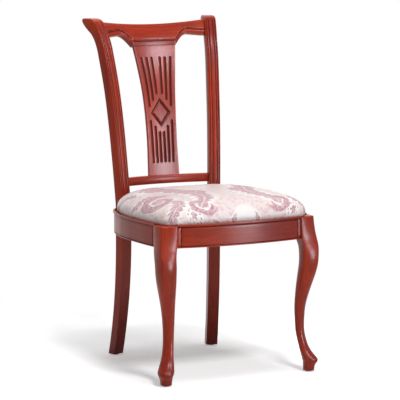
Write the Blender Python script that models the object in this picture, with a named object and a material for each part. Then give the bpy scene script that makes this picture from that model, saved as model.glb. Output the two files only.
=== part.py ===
# Baroque dining chair: a lacquered hardwood frame with swept back posts that end in rounded
# ears, a fluted splat, cabriole front legs, bowed seat rails and a loose upholstered seat.
# Metres, +Z up, the front towards -Y. Left and right are as seen from the front.
import math

import bmesh
import bpy
import numpy as np
from mathutils import Vector

for item in list(bpy.data.objects):
    bpy.data.objects.remove(item, do_unlink=True)

# Clearances and overruns
GAP = 0.0003
TENON_GAP = 0.0003
OVERRUN = 0.0020

# Overall sizes: between the front legs' blocks, from these to the posts, and the heights
SEAT_WIDTH = 0.4422
SEAT_DEPTH = 0.4089
HEIGHT = 0.9970
FRAME_TOP = 0.4490
SEAT_RAIL_HEIGHT = 0.0630
RAIL_BOTTOM = FRAME_TOP - SEAT_RAIL_HEIGHT

# Edges that turn by more than this are shown sharp
SHARP_ANGLE = math.radians(35)

# Glides under the feet
GLIDE_RADIUS = 0.0100
GLIDE_HEIGHT = 0.0030
GLIDE_EDGE = 0.0010
GLIDE_PIN_RADIUS = 0.0013
GLIDE_PIN_LENGTH = 0.0120
GLIDE_SIDES = 16

# Posts: each is one rear leg and one stile
POST_X = 0.1455
POST_TOE = math.radians(15)
POST_WIDTH = 0.0345
POST_FOOT_DEPTH = 0.0275
POST_SEAT_DEPTH = 0.0325
POST_BACK_DEPTH = 0.0345
POST_WAIST_BELOW_FRAME = 0.0890
POST_SPRING_ABOVE_FRAME = 0.0060
LEG_RAKE = 0.0400
LEG_SPREAD = 0.0113
BACK_SWEEP = 0.1160
BACK_SPREAD = 0.0436
POST_EDGE = 0.0030
# heights of the sections in the leg, as parts of the height of its waist
LEG_LEVEL_shares = (0.15, 0.4, 0.7, 1.0)
STILE_STEPS = 9
# height, sweep and spread of the back above the seat
BACK_CURVE_shares = (
    (0.0, 0.0, 0.0),
    (0.12, 0.035, 0.075),
    (0.25, 0.087, 0.15),
    (0.43, 0.178, 0.257),
    (0.61, 0.309, 0.378),
    (0.79, 0.494, 0.553),
    (0.87, 0.609, 0.633),
    (0.94, 0.76, 0.775),
    (1.0, 0.93, 0.93),
)

# Ears: the stiles thicken and round off at their tops
EAR_HEIGHT = 0.0900
EAR_DEPTH = 0.0600
EAR_ROUND = 0.0130
EAR_FRONT_ROUND = 0.0240
EAR_REAR_ROUND = 0.0130
EAR_SIDE_ROUND = 0.0030
EAR_STEPS = 8
EAR_ROUND_STEPS = 4
# height in the ear and how much of its swelling is reached
EAR_SWELL_shares = (
    (0.0, 0.0),
    (0.3, 0.11),
    (0.48, 0.28),
    (0.6, 0.59),
    (0.72, 0.88),
    (0.85, 1.0),
    (1.0, 1.0),
)

# Reeding on the fronts of the stiles
REED_DEPTH = 0.0016
REED_START_ABOVE_FRAME = 0.0110
REED_FADE = 0.0200
REED_END_BELOW_TOP = 0.0350
# place across the half width and depth below the face
REED_PROFILE_shares = (
    (0.0, 0.0),
    (0.32, 0.4),
    (0.36, 1.0),
    (0.41, 0.45),
    (0.56, 0.0),
    (0.72, 0.45),
    (0.76, 1.0),
    (0.83, 0.15),
    (1.0, 1.0),
)

# Curved back: crest rail, splat and lower rail share one arc in plan
BACK_ARC_RADIUS = 0.5460
BACK_RAIL_SET = 0.0155
BACK_TENON_LENGTH = 0.0150
BACK_TENON_STEPS = 3

# Crest rail
CREST_END_BELOW_TOP = 0.0090
CREST_HOLLOW = 0.0115
CREST_MIDDLE_HEIGHT = 0.0620
CREST_THICK = 0.0240
CREST_FORWARD = 0.0020
CREST_SLANT_share = 0.30
CREST_ROUND = 0.0050
CREST_FLAT_HALF = 0.0740
SCALLOP_RISE = 0.0335
SCALLOP_RUN = 0.0430
SCALLOP_DROP = 0.0040
CREST_BAND = 0.0120
CREST_BAND_SLOPE = 0.0040
CREST_BEAD = 0.0015
CREST_TENON_BELOW_TOP = 0.0200
CREST_TENON_HEIGHT = 0.0180
CREST_TENON_FRONT = 0.0060
CREST_TENON_THICK = 0.0090
CREST_STEPS = 14
SCALLOP_STEPS = 5

# Lower back rail
LOWER_RAIL_ABOVE_FRAME = 0.0565
LOWER_RAIL_HEIGHT = 0.0249
LOWER_RAIL_THICK = 0.0170
LOWER_RAIL_ROUND = 0.0030
LOWER_TENON_SHOULDER = 0.0045
LOWER_TENON_FRONT = 0.0040
LOWER_TENON_THICK = 0.0080
LOWER_RAIL_STEPS = 20

# Splat
SPLAT_TOP_WIDTH = 0.1365
SPLAT_SET = 0.0040
SPLAT_THICK = 0.0100
SPLAT_TONGUE = 0.0090
TONGUE_SHOULDER = 0.0015
TONGUE_END_SHOULDER = 0.0050
# height up the splat and its width
SPLAT_WIDTH_shares = (
    (0.0, 0.725),
    (0.1, 0.712),
    (0.25, 0.696),
    (0.43, 0.711),
    (0.62, 0.762),
    (0.71, 0.806),
    (0.8, 0.864),
    (0.9, 0.932),
    (1.0, 1.01),
)
FLUTE_HALF_WIDTH = 0.0032
FLUTE_DEPTH = 0.0026
FLUTE_SIDES = 8
# how a flute's end rounds off, as turns from its tip
FLUTE_END_TURNS = (math.radians(15), math.radians(50), math.radians(90))
SPLAT_COLUMNS = 6
SPLAT_STEPS = 22
# from height and place across, to height and place across, as parts of height and half width
UPPER_FLUTE_shares = (
    (0.620, 0.173, 0.912, 0.214),
    (0.572, 0.429, 0.912, 0.469),
    (0.525, 0.693, 0.912, 0.734),
)
LOWER_FLUTE_shares = (
    (0.092, 0.133, 0.339, 0.146),
    (0.092, 0.400, 0.385, 0.417),
    (0.092, 0.666, 0.429, 0.711),
)
DIAMOND_MIDDLE_share = 0.481
DIAMOND_HALF_HEIGHT = 0.0355
DIAMOND_HALF_WIDTH = 0.0270
DIAMOND_LINE = 0.0046
DIAMOND_DEPTH = 0.0018

# Front legs: a block at the rails, then a knee, an ankle and a pad foot on a small tapered block
LEG_Y = -0.2269
BLOCK_TURN = math.radians(47.5)
LEG_TURN = math.radians(40)
BLOCK_HALF_DEPTH = 0.0279
BLOCK_HALF_WIDTH = 0.0352
BLOCK_FLARE = 0.0100
LEG_SLIP = 0.0043
LEG_SWING = 0.0338
BLOCK_SWING = 0.0122
LEG_HALF = 0.0300
LEG_SIDES = 20
# height, swing, reach to the front, reach to the rear, half width, and roundness
CABRIOLE_shares = (
    (0.0, 0.858, 0.543, 0.543, 0.543, 1.7),
    (0.042, 0.902, 0.620, 0.620, 0.613, 1.6),
    (0.068, 1.0, 0.743, 0.743, 0.713, 1.6),
    (0.081, 0.991, 0.790, 0.790, 0.780, 1.55),
    (0.093, 0.947, 0.767, 0.767, 0.800, 1.6),
    (0.119, 0.751, 0.650, 0.650, 0.760, 1.6),
    (0.144, 0.577, 0.510, 0.510, 0.697, 1.8),
    (0.170, 0.444, 0.457, 0.457, 0.623, 1.9),
    (0.221, 0.246, 0.417, 0.417, 0.547, 1.95),
    (0.323, 0.027, 0.420, 0.420, 0.520, 2.0),
    (0.45, 0.018, 0.500, 0.500, 0.580, 2.0),
    (0.53, 0.121, 0.583, 0.583, 0.650, 1.9),
    (0.60, 0.275, 0.693, 0.693, 0.733, 1.8),
    (0.68, 0.485, 0.820, 0.820, 0.853, 1.7),
    (0.756, 0.692, 0.933, 0.933, 0.973, 1.6),
    (0.833, 0.831, 0.977, 0.977, 1.033, 1.5),
    (0.909, 0.802, 0.997, 0.997, 1.053, 1.25),
    (0.961, 0.620, 1.117, 0.873, 1.123, 1.08),
)
KNEE_share = 0.85
# more levels between the rows above, and levels up the block
LEG_EXTRA_shares = (0.26, 0.385, 0.87, 0.935, 0.98)
BLOCK_LEVEL_shares = (0.0, 0.3, 0.65, 1.0)
FLARE_POWER = 1.5

# Seat rails
RAIL_THICK = 0.0240
BLOCK_PROUD = 0.0035
FRONT_ARC_RADIUS = 0.8900
LIP_PROUD = 0.0030
LIP_RISE = 0.0030
LIP_HEIGHT = 0.0065
LIP_ROUND = 0.0012
LIP_BACK = 0.0030
RAIL_GROOVE = 0.0015
RAIL_BEAD = 0.0040
PANEL_LINE_WIDTH = 0.0016
PANEL_LINE_DEPTH = 0.0012
PANEL_LINE_FROM_END = 0.0120
# how far back along the side rail and how far out it is from its rear end
SIDE_CURVE_shares = (
    (0.0, 1.0),
    (0.21, 1.062),
    (0.40, 1.0705),
    (0.56, 1.033),
    (0.66, 0.957),
    (0.77, 0.833),
    (0.875, 0.6225),
    (0.95, 0.33),
    (1.0, 0.0),
)
SIDE_END_INSET = 0.0010
SIDE_END_THICK = 0.0270
SIDE_STEP_share = 0.004
SIDE_STATION_shares = (0.05, 0.12, 0.2, 0.3, 0.4, 0.48, 0.56, 0.62)
SIDE_CLOSE_shares = (0.68, 0.74, 0.79, 0.84, 0.88, 0.92, 0.95, 0.975)
FRONT_STEPS = 14
BEAD_TURN_share = 0.3

# Rear seat rail
REAR_RAIL_FRONT_SET = 0.0205
REAR_RAIL_THICK = 0.0320
REAR_RAIL_EDGE = 0.0020

# Tenons of the seat rails
SEAT_TENON_THICK = 0.0100
SEAT_TENON_LENGTH = 0.0210
SEAT_TENON_SHOULDER = 0.0100
POST_TENON_LENGTH = 0.0140
POST_TENON_RISE = 0.0340
POST_TENON_HEIGHT = 0.0200
REAR_TENON_THICK = 0.0080
REAR_TENON_LENGTH = 0.0200
REAR_TENON_RISE = 0.0060
REAR_TENON_HEIGHT = 0.0210
REAR_TENON_BACK_SET = 0.0060

# Corner blocks and their screws
BLOCK_RISE = 0.0240
BLOCK_BELOW_FRAME = 0.0035
FRONT_BLOCK_REACH = 0.0470
REAR_BLOCK_REACH = 0.0415
REAR_BLOCK_DEPTH = 0.0600
SCREW_RADIUS = 0.0020
SCREW_HEAD_RADIUS = 0.0040
SCREW_HEAD_HEIGHT = 0.0026
SCREW_POINT = 0.0040
SCREW_LENGTH = 0.0300
SCREW_GRIP = 0.0130
SCREW_SIDES = 8
SCREW_STEP = 0.0070
SEAT_SCREW_BITE = 0.0080
SEAT_SCREW_SET = 0.0140
# where the screws stand, from one corner of a block's face to the other
FRONT_SCREW_share = 0.45
SIDE_SCREW_share = 0.55
REAR_SCREW_share = 0.6
SHOULDER_SCREW_share = 0.45

# Loose seat
BOARD_THICK = 0.0100
COVER_THICK = 0.0012
CUSHION_FRONT_SET = 0.0090
CUSHION_CORNER_SET = 0.0075
CUSHION_CORNER_RADIUS = 0.0500
CUSHION_SIDE_SET = 0.0035
CUSHION_REAR_SIDE_SET = 0.0090
CUSHION_REAR_SET = 0.0030
CUSHION_REAR_BOW = 0.0015
CUSHION_HEIGHT = 0.0660
# places of the outline's points: along the front's half, round the corner and along the side
CUSHION_FRONT_shares = (0.0, 0.25, 0.5, 0.75, 0.93)
CUSHION_CORNER_TURNS = (math.radians(14), math.radians(36), math.radians(58), math.radians(80))
CUSHION_SIDE_shares = (0.16, 0.28, 0.40, 0.5, 0.6, 0.69, 0.78, 0.86, 0.92, 0.965)
CUSHION_NARROW_share = 0.4
# place out from the middle and height, from the turn under the board up over the crown
CUSHION_PROFILE_shares = (
    (0.74, 0.0),
    (0.980, 0.0),
    (0.990, 0.015),
    (0.997, 0.10),
    (1.0, 0.21),
    (0.992, 0.33),
    (0.970, 0.45),
    (0.925, 0.58),
    (0.85, 0.70),
    (0.72, 0.82),
    (0.52, 0.92),
    (0.28, 0.98),
    (0.03, 1.0),
)
CLOTH_THICK = 0.0008
CLOTH_share = 0.86

# Colours, roughness and metallic value
WOOD = ((0.180, 0.022, 0.014), 0.24, 0.0)
DARK_WOOD = ((0.105, 0.014, 0.009), 0.3, 0.0)
BARE_WOOD = ((0.52, 0.36, 0.2), 0.7, 0.0)
PLYWOOD = ((0.6, 0.44, 0.27), 0.75, 0.0)
FOAM = ((0.86, 0.8, 0.62), 0.95, 0.0)
DAMASK = ((0.72, 0.6, 0.57), 0.55, 0.0)
CLOTH = ((0.03, 0.03, 0.03), 0.95, 0.0)
STEEL = ((0.55, 0.54, 0.52), 0.35, 1.0)
NYLON = ((0.75, 0.74, 0.7), 0.5, 0.0)


# Curves and plan geometry
def smooth_table(rows):
    """A smooth curve through every column of the rows, which never overshoots them."""
    table = np.array(rows)
    steps = np.diff(table[:, 0])
    slopes = np.diff(table[:, 1:], axis=0) / steps[:, None]
    tangents = np.zeros_like(table[:, 1:])
    tangents[0] = slopes[0]
    tangents[-1] = slopes[-1]
    for row in range(1, len(table) - 1):
        before = slopes[row - 1]
        after = slopes[row]
        product = before * after
        total = np.where(product > 0, before + after, 1)
        tangents[row] = np.where(product > 0, 2 * product / total, 0)

    def at(place):
        row = int(np.clip(np.searchsorted(table[:, 0], place) - 1, 0, len(steps) - 1))
        share = float(np.clip((place - table[row, 0]) / steps[row], 0, 1))
        cube = share**3
        square = share**2
        return (
            (2 * cube - 3 * square + 1) * table[row, 1:]
            + (cube - 2 * square + share) * steps[row] * tangents[row]
            + (3 * square - 2 * cube) * table[row + 1, 1:]
            + (cube - square) * steps[row] * tangents[row + 1]
        )

    return at


def fade(value, start, end):
    """0 before start and 1 after end, with an eased run between."""
    share = float(np.clip((value - start) / (end - start), 0, 1))
    return share * share * (3 - 2 * share)


def mix(first, second, share):
    return np.array(first) * (1 - share) + np.array(second) * share


def unit(vector):
    return np.array(vector) / np.linalg.norm(vector)


def with_height(point, height):
    return (point[0], point[1], height)


# Meshes
def material(name, look):
    colour, roughness, metallic = look
    made = bpy.data.materials.new(name)
    made.use_nodes = True
    shader = made.node_tree.nodes["Principled BSDF"]
    shader.inputs["Base Color"].default_value = (*colour, 1)
    shader.inputs["Roughness"].default_value = roughness
    shader.inputs["Metallic"].default_value = metallic
    return made


def node(name, mesh, look):
    made = bpy.data.objects.new(name, mesh)
    bpy.context.scene.collection.objects.link(made)
    if look:
        mesh.materials.clear()
        mesh.materials.append(material(name, look))
    else:
        made.hide_render = True
        made.display_type = "WIRE"
    return made


def loft(name, rings, look=None, closed=False, folded=False):
    """One body through rings of points: capped at its ends, in strips if folded, or closed on itself."""
    shape = bmesh.new()
    loops = [[shape.verts.new(point) for point in ring] for ring in rings]
    pairs = list(zip(loops, loops[1:]))
    if closed:
        pairs.append((loops[-1], loops[0]))
    for lower, upper in pairs:
        for index in range(len(lower)):
            after = (index + 1) % len(lower)
            shape.faces.new((lower[index], lower[after], upper[after], upper[index]))
    for loop in () if closed else (loops[0], loops[-1]):
        if folded:
            for index in range(len(loop) // 2 - 1):
                shape.faces.new((loop[index], loop[index + 1], loop[-index - 2], loop[-index - 1]))
        else:
            shape.faces.new(loop)
    bmesh.ops.recalc_face_normals(shape, faces=shape.faces)
    mesh = bpy.data.meshes.new(name)
    shape.to_mesh(mesh)
    shape.free()
    return node(name, mesh, look)


def prism(name, outline, low, high, look=None):
    rings = [[with_height(point, height) for point in outline] for height in (low, high)]
    return loft(name, rings, look)


def turned(name, base, axis, profile, sides, look=None):
    """A body of revolution: profile rows give the distance along the axis and the radius."""
    along = Vector(axis).normalized()
    across = along.orthogonal().normalized()
    third = along.cross(across)
    rings = []
    for distance, radius in profile:
        middle = Vector(base) + along * distance
        ring = []
        for step in range(sides):
            angle = 2 * math.pi * step / sides
            ring.append(middle + (across * math.cos(angle) + third * math.sin(angle)) * radius)
        rings.append(ring)
    return loft(name, rings, look)


def bar(name, root, along, length, thick, low, high, grow=0.0):
    """A tenon from a plan point on a shoulder, or with grow the cutter of its mortise."""
    along = unit(along)
    across = np.array((-along[1], along[0])) * (thick / 2 + grow)
    near = np.array(root) - along * OVERRUN
    far = np.array(root) + along * (length + grow)
    outline = [near - across, far - across, far + across, near + across]
    return prism(name, outline, low - grow, high + grow)


def combine(target, tools, operation):
    """Joins tools to the target, or cuts them from it, and leaves one plain mesh."""
    for tool in tools:
        modifier = target.modifiers.new(tool.name, "BOOLEAN")
        modifier.operation = operation
        modifier.solver = "EXACT"
        modifier.object = tool
    graph = bpy.context.evaluated_depsgraph_get()
    mesh = bpy.data.meshes.new_from_object(target.evaluated_get(graph))
    target.modifiers.clear()
    target.data = mesh
    for tool in tools:
        bpy.data.objects.remove(tool, do_unlink=True)


def mirrored(source, name, look=None):
    """A copy of the source on the other side of the chair."""
    mesh = source.data.copy()
    for vertex in mesh.vertices:
        vertex.co.x = -vertex.co.x
    mesh.flip_normals()
    return node(name, mesh, look)


# Posts
POST_Y = LEG_Y + SEAT_DEPTH
OUTWARD = np.array((math.cos(POST_TOE), -math.sin(POST_TOE)))
REARWARD = np.array((math.sin(POST_TOE), math.cos(POST_TOE)))
FOOT_LOW = GLIDE_HEIGHT + GAP
POST_WAIST = FRAME_TOP - POST_WAIST_BELOW_FRAME
POST_SPRING = FRAME_TOP + POST_SPRING_ABOVE_FRAME
REED_START = FRAME_TOP + REED_START_ABOVE_FRAME
REED_END = HEIGHT - REED_END_BELOW_TOP
CREST_END_TOP = HEIGHT - CREST_END_BELOW_TOP
CREST_MIDDLE_TOP = CREST_END_TOP - CREST_HOLLOW
CREST_LOW = CREST_MIDDLE_TOP - CREST_MIDDLE_HEIGHT
LOWER_RAIL_LOW = FRAME_TOP + LOWER_RAIL_ABOVE_FRAME
LOWER_RAIL_HIGH = LOWER_RAIL_LOW + LOWER_RAIL_HEIGHT
back_curve = smooth_table(BACK_CURVE_shares)
ear_swell = smooth_table(EAR_SWELL_shares)


def post_front(height):
    """The middle of the right post's front face, in plan."""
    if height < POST_WAIST:
        droop = ((POST_WAIST - height) / POST_WAIST) ** 2
        return np.array((POST_X + LEG_SPREAD * droop, POST_Y + LEG_RAKE * droop))
    share = max(0, height - POST_SPRING) / (HEIGHT - POST_SPRING)
    sweep, spread = back_curve(share)
    return np.array((POST_X + BACK_SPREAD * spread, POST_Y + BACK_SWEEP * sweep))


def post_inner(height):
    return post_front(height) - OUTWARD * POST_WIDTH / 2


def post_depth(height):
    if height < FRAME_TOP:
        return POST_FOOT_DEPTH + (POST_SEAT_DEPTH - POST_FOOT_DEPTH) * fade(height, 0, POST_WAIST)
    depth = POST_SEAT_DEPTH + (POST_BACK_DEPTH - POST_SEAT_DEPTH) * fade(height, FRAME_TOP, CREST_LOW)
    swelling = ear_swell((height - HEIGHT + EAR_HEIGHT) / EAR_HEIGHT)[0]
    return depth + (EAR_DEPTH - POST_BACK_DEPTH) * swelling


def post_ring(height, front_inset=0.0, rear_inset=0.0, side_inset=0.0):
    """One section of the right post, with the reeding where it is at its full depth."""
    reeding = fade(height, REED_START, REED_START + REED_FADE)
    reeding *= 1 - fade(height, REED_END - REED_FADE, REED_END)
    half = POST_WIDTH / 2 - side_inset
    depth = post_depth(height) - front_inset - rear_inset
    front = post_front(height) + REARWARD * front_inset
    places = [(-across, sunk) for across, sunk in reversed(REED_PROFILE_shares)]
    places += REED_PROFILE_shares[1:]
    ring = []
    for across, sunk in places:
        ring.append(front + OUTWARD * half * across + REARWARD * REED_DEPTH * sunk * reeding)
    for side, back in ((1, 1), (1, 0), (-1, 0), (-1, 1)):
        across = side * (half - POST_EDGE * (1 - back))
        ring.append(front + OUTWARD * across + REARWARD * (depth - POST_EDGE * back))
    return [with_height(point, height) for point in ring]


def post_rings():
    foot = [FOOT_LOW] + [POST_WAIST * share for share in LEG_LEVEL_shares]
    seat = [RAIL_BOTTOM, FRAME_TOP, REED_START, REED_START + REED_FADE / 2, REED_START + REED_FADE]
    low = REED_START + REED_FADE
    ear = HEIGHT - EAR_HEIGHT
    back = [low + (ear - low) * step / STILE_STEPS for step in range(1, STILE_STEPS + 1)]
    shoulder = HEIGHT - EAR_ROUND
    swelling = [ear + (shoulder - ear) * step / EAR_STEPS for step in range(1, EAR_STEPS + 1)]
    rings = [post_ring(height) for height in foot + seat + back + swelling]
    for step in range(1, EAR_ROUND_STEPS + 1):
        angle = math.radians(90) * step / EAR_ROUND_STEPS
        height = shoulder + EAR_ROUND * math.sin(angle)
        fallen = 1 - math.cos(angle)
        insets = (EAR_FRONT_ROUND * fallen, EAR_REAR_ROUND * fallen, EAR_SIDE_ROUND * fallen)
        rings.append(post_ring(height, *insets))
    return rings


# Curved back
def back_centre(height):
    """Where the back's arc is centred, on the chair's middle plane."""
    end = post_inner(height) + REARWARD * BACK_RAIL_SET
    return end[1] - math.sqrt(BACK_ARC_RADIUS**2 - end[0] ** 2)


def back_end(height, depth):
    """The angle at which a rail's layer at this depth meets the right post's inner face."""
    reach = post_inner(height) @ OUTWARD - GAP + back_centre(height) * math.sin(POST_TOE)
    return POST_TOE + math.asin(reach / (BACK_ARC_RADIUS + depth))


def back_point(angle, depth, height):
    radius = BACK_ARC_RADIUS + depth
    return np.array((radius * math.sin(angle), back_centre(height) + radius * math.cos(angle), height))


def back_tenon(name, low, high, front, thick, side, grow=0.0):
    """A tenon on a back rail's end, which follows the post's lean, or the cutter of its mortise."""
    rings = []
    near = front - grow
    far = front + thick + grow
    for step in range(BACK_TENON_STEPS + 1):
        height = low - grow + (high - low + 2 * grow) * step / BACK_TENON_STEPS
        ring = []
        for depth, reach in ((near, 0), (near, 1), (far, 1), (far, 0)):
            base = back_point(back_end(height, depth), depth, height)
            length = (BACK_TENON_LENGTH + grow) * reach - OVERRUN * (1 - reach)
            x = base[0] + OUTWARD[0] * length
            ring.append((side * x, base[1] + OUTWARD[1] * length, height))
        rings.append(ring)
    return loft(name, rings)


def crest_tenon(name, side, grow=0.0):
    high = CREST_END_TOP - CREST_TENON_BELOW_TOP
    low = high - CREST_TENON_HEIGHT
    return back_tenon(name, low, high, CREST_TENON_FRONT, CREST_TENON_THICK, side, grow)


def lower_tenon(name, side, grow=0.0):
    low = LOWER_RAIL_LOW + LOWER_TENON_SHOULDER
    high = LOWER_RAIL_HIGH - LOWER_TENON_SHOULDER
    return back_tenon(name, low, high, LOWER_TENON_FRONT, LOWER_TENON_THICK, side, grow)


def crest_low(across):
    """The scalloped lower edge of the crest rail, at a distance from the middle."""
    share = np.clip((abs(across) - CREST_FLAT_HALF) / SCALLOP_RUN, 0, 1)
    past = max(0, abs(across) - CREST_FLAT_HALF - SCALLOP_RUN) / SCALLOP_RUN
    return CREST_LOW + SCALLOP_RISE * math.sin(math.pi / 2 * share) - SCALLOP_DROP * min(1, past)


def crest_ring(share):
    across = share * BACK_ARC_RADIUS * math.sin(back_end(CREST_END_TOP - CREST_ROUND, 0))
    low = crest_low(across)
    top = CREST_MIDDLE_TOP + (CREST_END_TOP - CREST_MIDDLE_TOP) * share**2
    band = low + CREST_BAND
    shoulder = top - CREST_ROUND
    turn = CREST_ROUND * (1 - math.sqrt(0.5))
    third = (shoulder - band - 2 * CREST_BEAD) / 3
    back_third = (shoulder - low) / 3
    section = [
        (CREST_BAND_SLOPE + CREST_BEAD, low),
        (CREST_BAND_SLOPE, low + CREST_BEAD),
        (0, band - CREST_BEAD),
        (CREST_BEAD, band),
        (0, band + CREST_BEAD),
        (0, band + 2 * CREST_BEAD + third),
        (0, shoulder - third),
        (0, shoulder),
        (turn, top - turn),
        (CREST_ROUND, top),
        (CREST_THICK - CREST_ROUND, top),
        (CREST_THICK - turn, top - turn),
        (CREST_THICK, shoulder),
        (CREST_THICK, shoulder - back_third),
        (CREST_THICK, low + back_third),
        (CREST_THICK, low + CREST_BEAD),
        (CREST_THICK - CREST_BEAD, low),
    ]
    ring = []
    for depth, height in section:
        height -= CREST_SLANT_share * depth
        depth -= CREST_FORWARD
        ring.append(back_point(share * back_end(height, depth), depth, height))
    return ring


def lower_rail_ring(share):
    ring = []
    turn = LOWER_RAIL_ROUND * (1 - math.sqrt(0.5))
    corners = [(LOWER_RAIL_ROUND, 0), (turn, turn), (0, LOWER_RAIL_ROUND)]
    section = [(d, LOWER_RAIL_LOW + z) for d, z in corners]
    section += [(d, LOWER_RAIL_HIGH - z) for d, z in reversed(corners)]
    section += [(LOWER_RAIL_THICK - d, LOWER_RAIL_HIGH - z) for d, z in corners]
    section += [(LOWER_RAIL_THICK - d, LOWER_RAIL_LOW + z) for d, z in reversed(corners)]
    for depth, height in section:
        ring.append(back_point(share * back_end(height, depth), depth, height))
    return ring


# Splat
SPLAT_LOW = LOWER_RAIL_HIGH + GAP
SPLAT_HIGH = CREST_LOW - GAP
splat_width = smooth_table(SPLAT_WIDTH_shares)


def splat_half(share):
    return SPLAT_TOP_WIDTH / 2 * splat_width(share)[0]


def splat_ring(height, half, front, thick):
    """One section of the splat, which tips to the crest rail's slant towards its top."""
    slant = CREST_SLANT_share * fade(height, (SPLAT_LOW + SPLAT_HIGH) / 2, SPLAT_HIGH)
    ring = []
    for side in (0, 1):
        for column in range(SPLAT_COLUMNS + 1):
            place = 2 * column / SPLAT_COLUMNS - 1
            angle = math.asin(half * (place if side == 0 else -place) / BACK_ARC_RADIUS)
            depth = front + thick * side
            ring.append(back_point(angle, depth, height - slant * (depth + CREST_FORWARD)))
    return ring


def splat_tongue(name, shoulder, end, grow=0.0):
    """The tongue past one shoulder of the splat, or with grow the cutter of its slot."""
    share = (shoulder - SPLAT_LOW) / (SPLAT_HIGH - SPLAT_LOW)
    half = splat_half(share) - TONGUE_END_SHOULDER + grow
    front = SPLAT_SET + TONGUE_SHOULDER - grow
    thick = SPLAT_THICK - 2 * TONGUE_SHOULDER + 2 * grow
    heading = 1 if end > shoulder else -1
    levels = (shoulder - heading * OVERRUN, shoulder, end + heading * grow)
    return loft(name, [splat_ring(height, half, front, thick) for height in levels], folded=True)


def splat_place(height_share, across_share, depth):
    """A point on the splat, or below its face, from its place on the front."""
    height = SPLAT_LOW + (SPLAT_HIGH - SPLAT_LOW) * height_share
    angle = math.asin(across_share * splat_half(height_share) / BACK_ARC_RADIUS)
    return Vector(back_point(angle, SPLAT_SET + depth, height))


def flute_cutter(name, low, low_across, high, high_across, side):
    """A round-ended rod sunk in the splat's face, which bends with the face."""
    radius = (FLUTE_HALF_WIDTH**2 + FLUTE_DEPTH**2) / (2 * FLUTE_DEPTH)
    length = (high - low) * (SPLAT_HIGH - SPLAT_LOW)
    stops = [radius * (1 - math.cos(turn)) / length for turn in FLUTE_END_TURNS]
    sizes = [math.sin(turn) for turn in FLUTE_END_TURNS]
    stops += [0.5] + [1 - stop for stop in reversed(stops)]
    sizes += [1] + sizes[::-1]
    rings = []
    for stop, size in zip(stops, sizes):
        height = low + (high - low) * stop
        across = side * (low_across + (high_across - low_across) * stop)
        middle = splat_place(height, across, FLUTE_DEPTH - radius)
        inward = (splat_place(height, across, FLUTE_DEPTH) - middle).normalized()
        sideways = inward.cross(Vector((0, 0, 1))).normalized()
        ring = []
        for step in range(FLUTE_SIDES):
            angle = 2 * math.pi * step / FLUTE_SIDES
            ring.append(middle + (inward * math.cos(angle) + sideways * math.sin(angle)) * radius * size)
        rings.append(ring)
    return loft(name, rings)


def diamond_cutter():
    """A V-shaped line round a diamond on the splat's face."""
    flat = DIAMOND_HALF_HEIGHT * DIAMOND_HALF_WIDTH / math.hypot(DIAMOND_HALF_HEIGHT, DIAMOND_HALF_WIDTH)
    step_out = DIAMOND_LINE / 2 / flat
    sections = ((1 - 2 * step_out, -DIAMOND_DEPTH), (1 + 2 * step_out, -DIAMOND_DEPTH), (1, DIAMOND_DEPTH))
    corners = [(0, 1), (1, 0), (0, -1), (-1, 0)]
    rings = []
    for index, corner in enumerate(corners):
        following = corners[(index + 1) % len(corners)]
        for share in (0, 0.5):
            x, z = mix(corner, following, share)
            ring = []
            for size, depth in sections:
                high = DIAMOND_MIDDLE_share + z * size * DIAMOND_HALF_HEIGHT / (SPLAT_HIGH - SPLAT_LOW)
                ring.append(splat_place(high, x * size * DIAMOND_HALF_WIDTH / splat_half(high), depth))
            rings.append(ring)
    return loft("diamond_cutter", rings, closed=True)


# Front legs
def leg_axes(turn):
    """Unit vectors towards the toe and across it, for the right leg."""
    return np.array((math.sin(turn), -math.cos(turn))), np.array((-math.cos(turn), -math.sin(turn)))


BLOCK_OUT, BLOCK_ACROSS = leg_axes(BLOCK_TURN)
LEG_OUT, LEG_ACROSS = leg_axes(LEG_TURN)
LEG_BLOCK = np.array((SEAT_WIDTH / 2, LEG_Y))
cabriole = smooth_table(
    CABRIOLE_shares
    + (
        (
            1.0,
            BLOCK_SWING / LEG_SWING,
            (BLOCK_HALF_DEPTH + BLOCK_FLARE) / LEG_HALF,
            BLOCK_HALF_DEPTH / LEG_HALF,
            BLOCK_HALF_WIDTH / LEG_HALF,
            1.0,
        ),
    )
)


def leg_ring(middle, out, across, front, rear, half_width, roundness):
    ring = []
    for step in range(LEG_SIDES):
        angle = 2 * math.pi * (step + 0.5) / LEG_SIDES
        c, s = math.cos(angle), math.sin(angle)
        forward = math.copysign(abs(c) ** (2 / roundness), c) * (front if c > 0 else rear)
        sideways = math.copysign(abs(s) ** (2 / roundness), s) * half_width
        ring.append(middle + out * forward + across * sideways)
    return ring


def leg_rings():
    rings = []
    levels = sorted({row[0] for row in CABRIOLE_shares} | set(LEG_EXTRA_shares))
    for share in levels:
        height = FOOT_LOW + (RAIL_BOTTOM - FOOT_LOW) * share
        swing, front, rear, half, roundness = cabriole(share)
        turned_to_block = fade(share, KNEE_share, 1)
        out = unit(mix(LEG_OUT, BLOCK_OUT, turned_to_block))
        across = np.array((out[1], -out[0]))
        slipped = LEG_ACROSS * LEG_SLIP * (1 - turned_to_block)
        middle = LEG_BLOCK + LEG_OUT * (swing * LEG_SWING - BLOCK_SWING) + slipped
        ring = leg_ring(middle, out, across, front * LEG_HALF, rear * LEG_HALF, half * LEG_HALF, roundness)
        rings.append([with_height(point, height) for point in ring])
    for share in BLOCK_LEVEL_shares:
        height = RAIL_BOTTOM + (FRAME_TOP - RAIL_BOTTOM) * share
        flare = BLOCK_FLARE * (1 - share) ** FLARE_POWER
        front = BLOCK_HALF_DEPTH + flare
        ring = leg_ring(LEG_BLOCK, BLOCK_OUT, BLOCK_ACROSS, front, BLOCK_HALF_DEPTH, BLOCK_HALF_WIDTH, 1)
        rings.append([with_height(point, height) for point in ring])
    return rings


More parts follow.
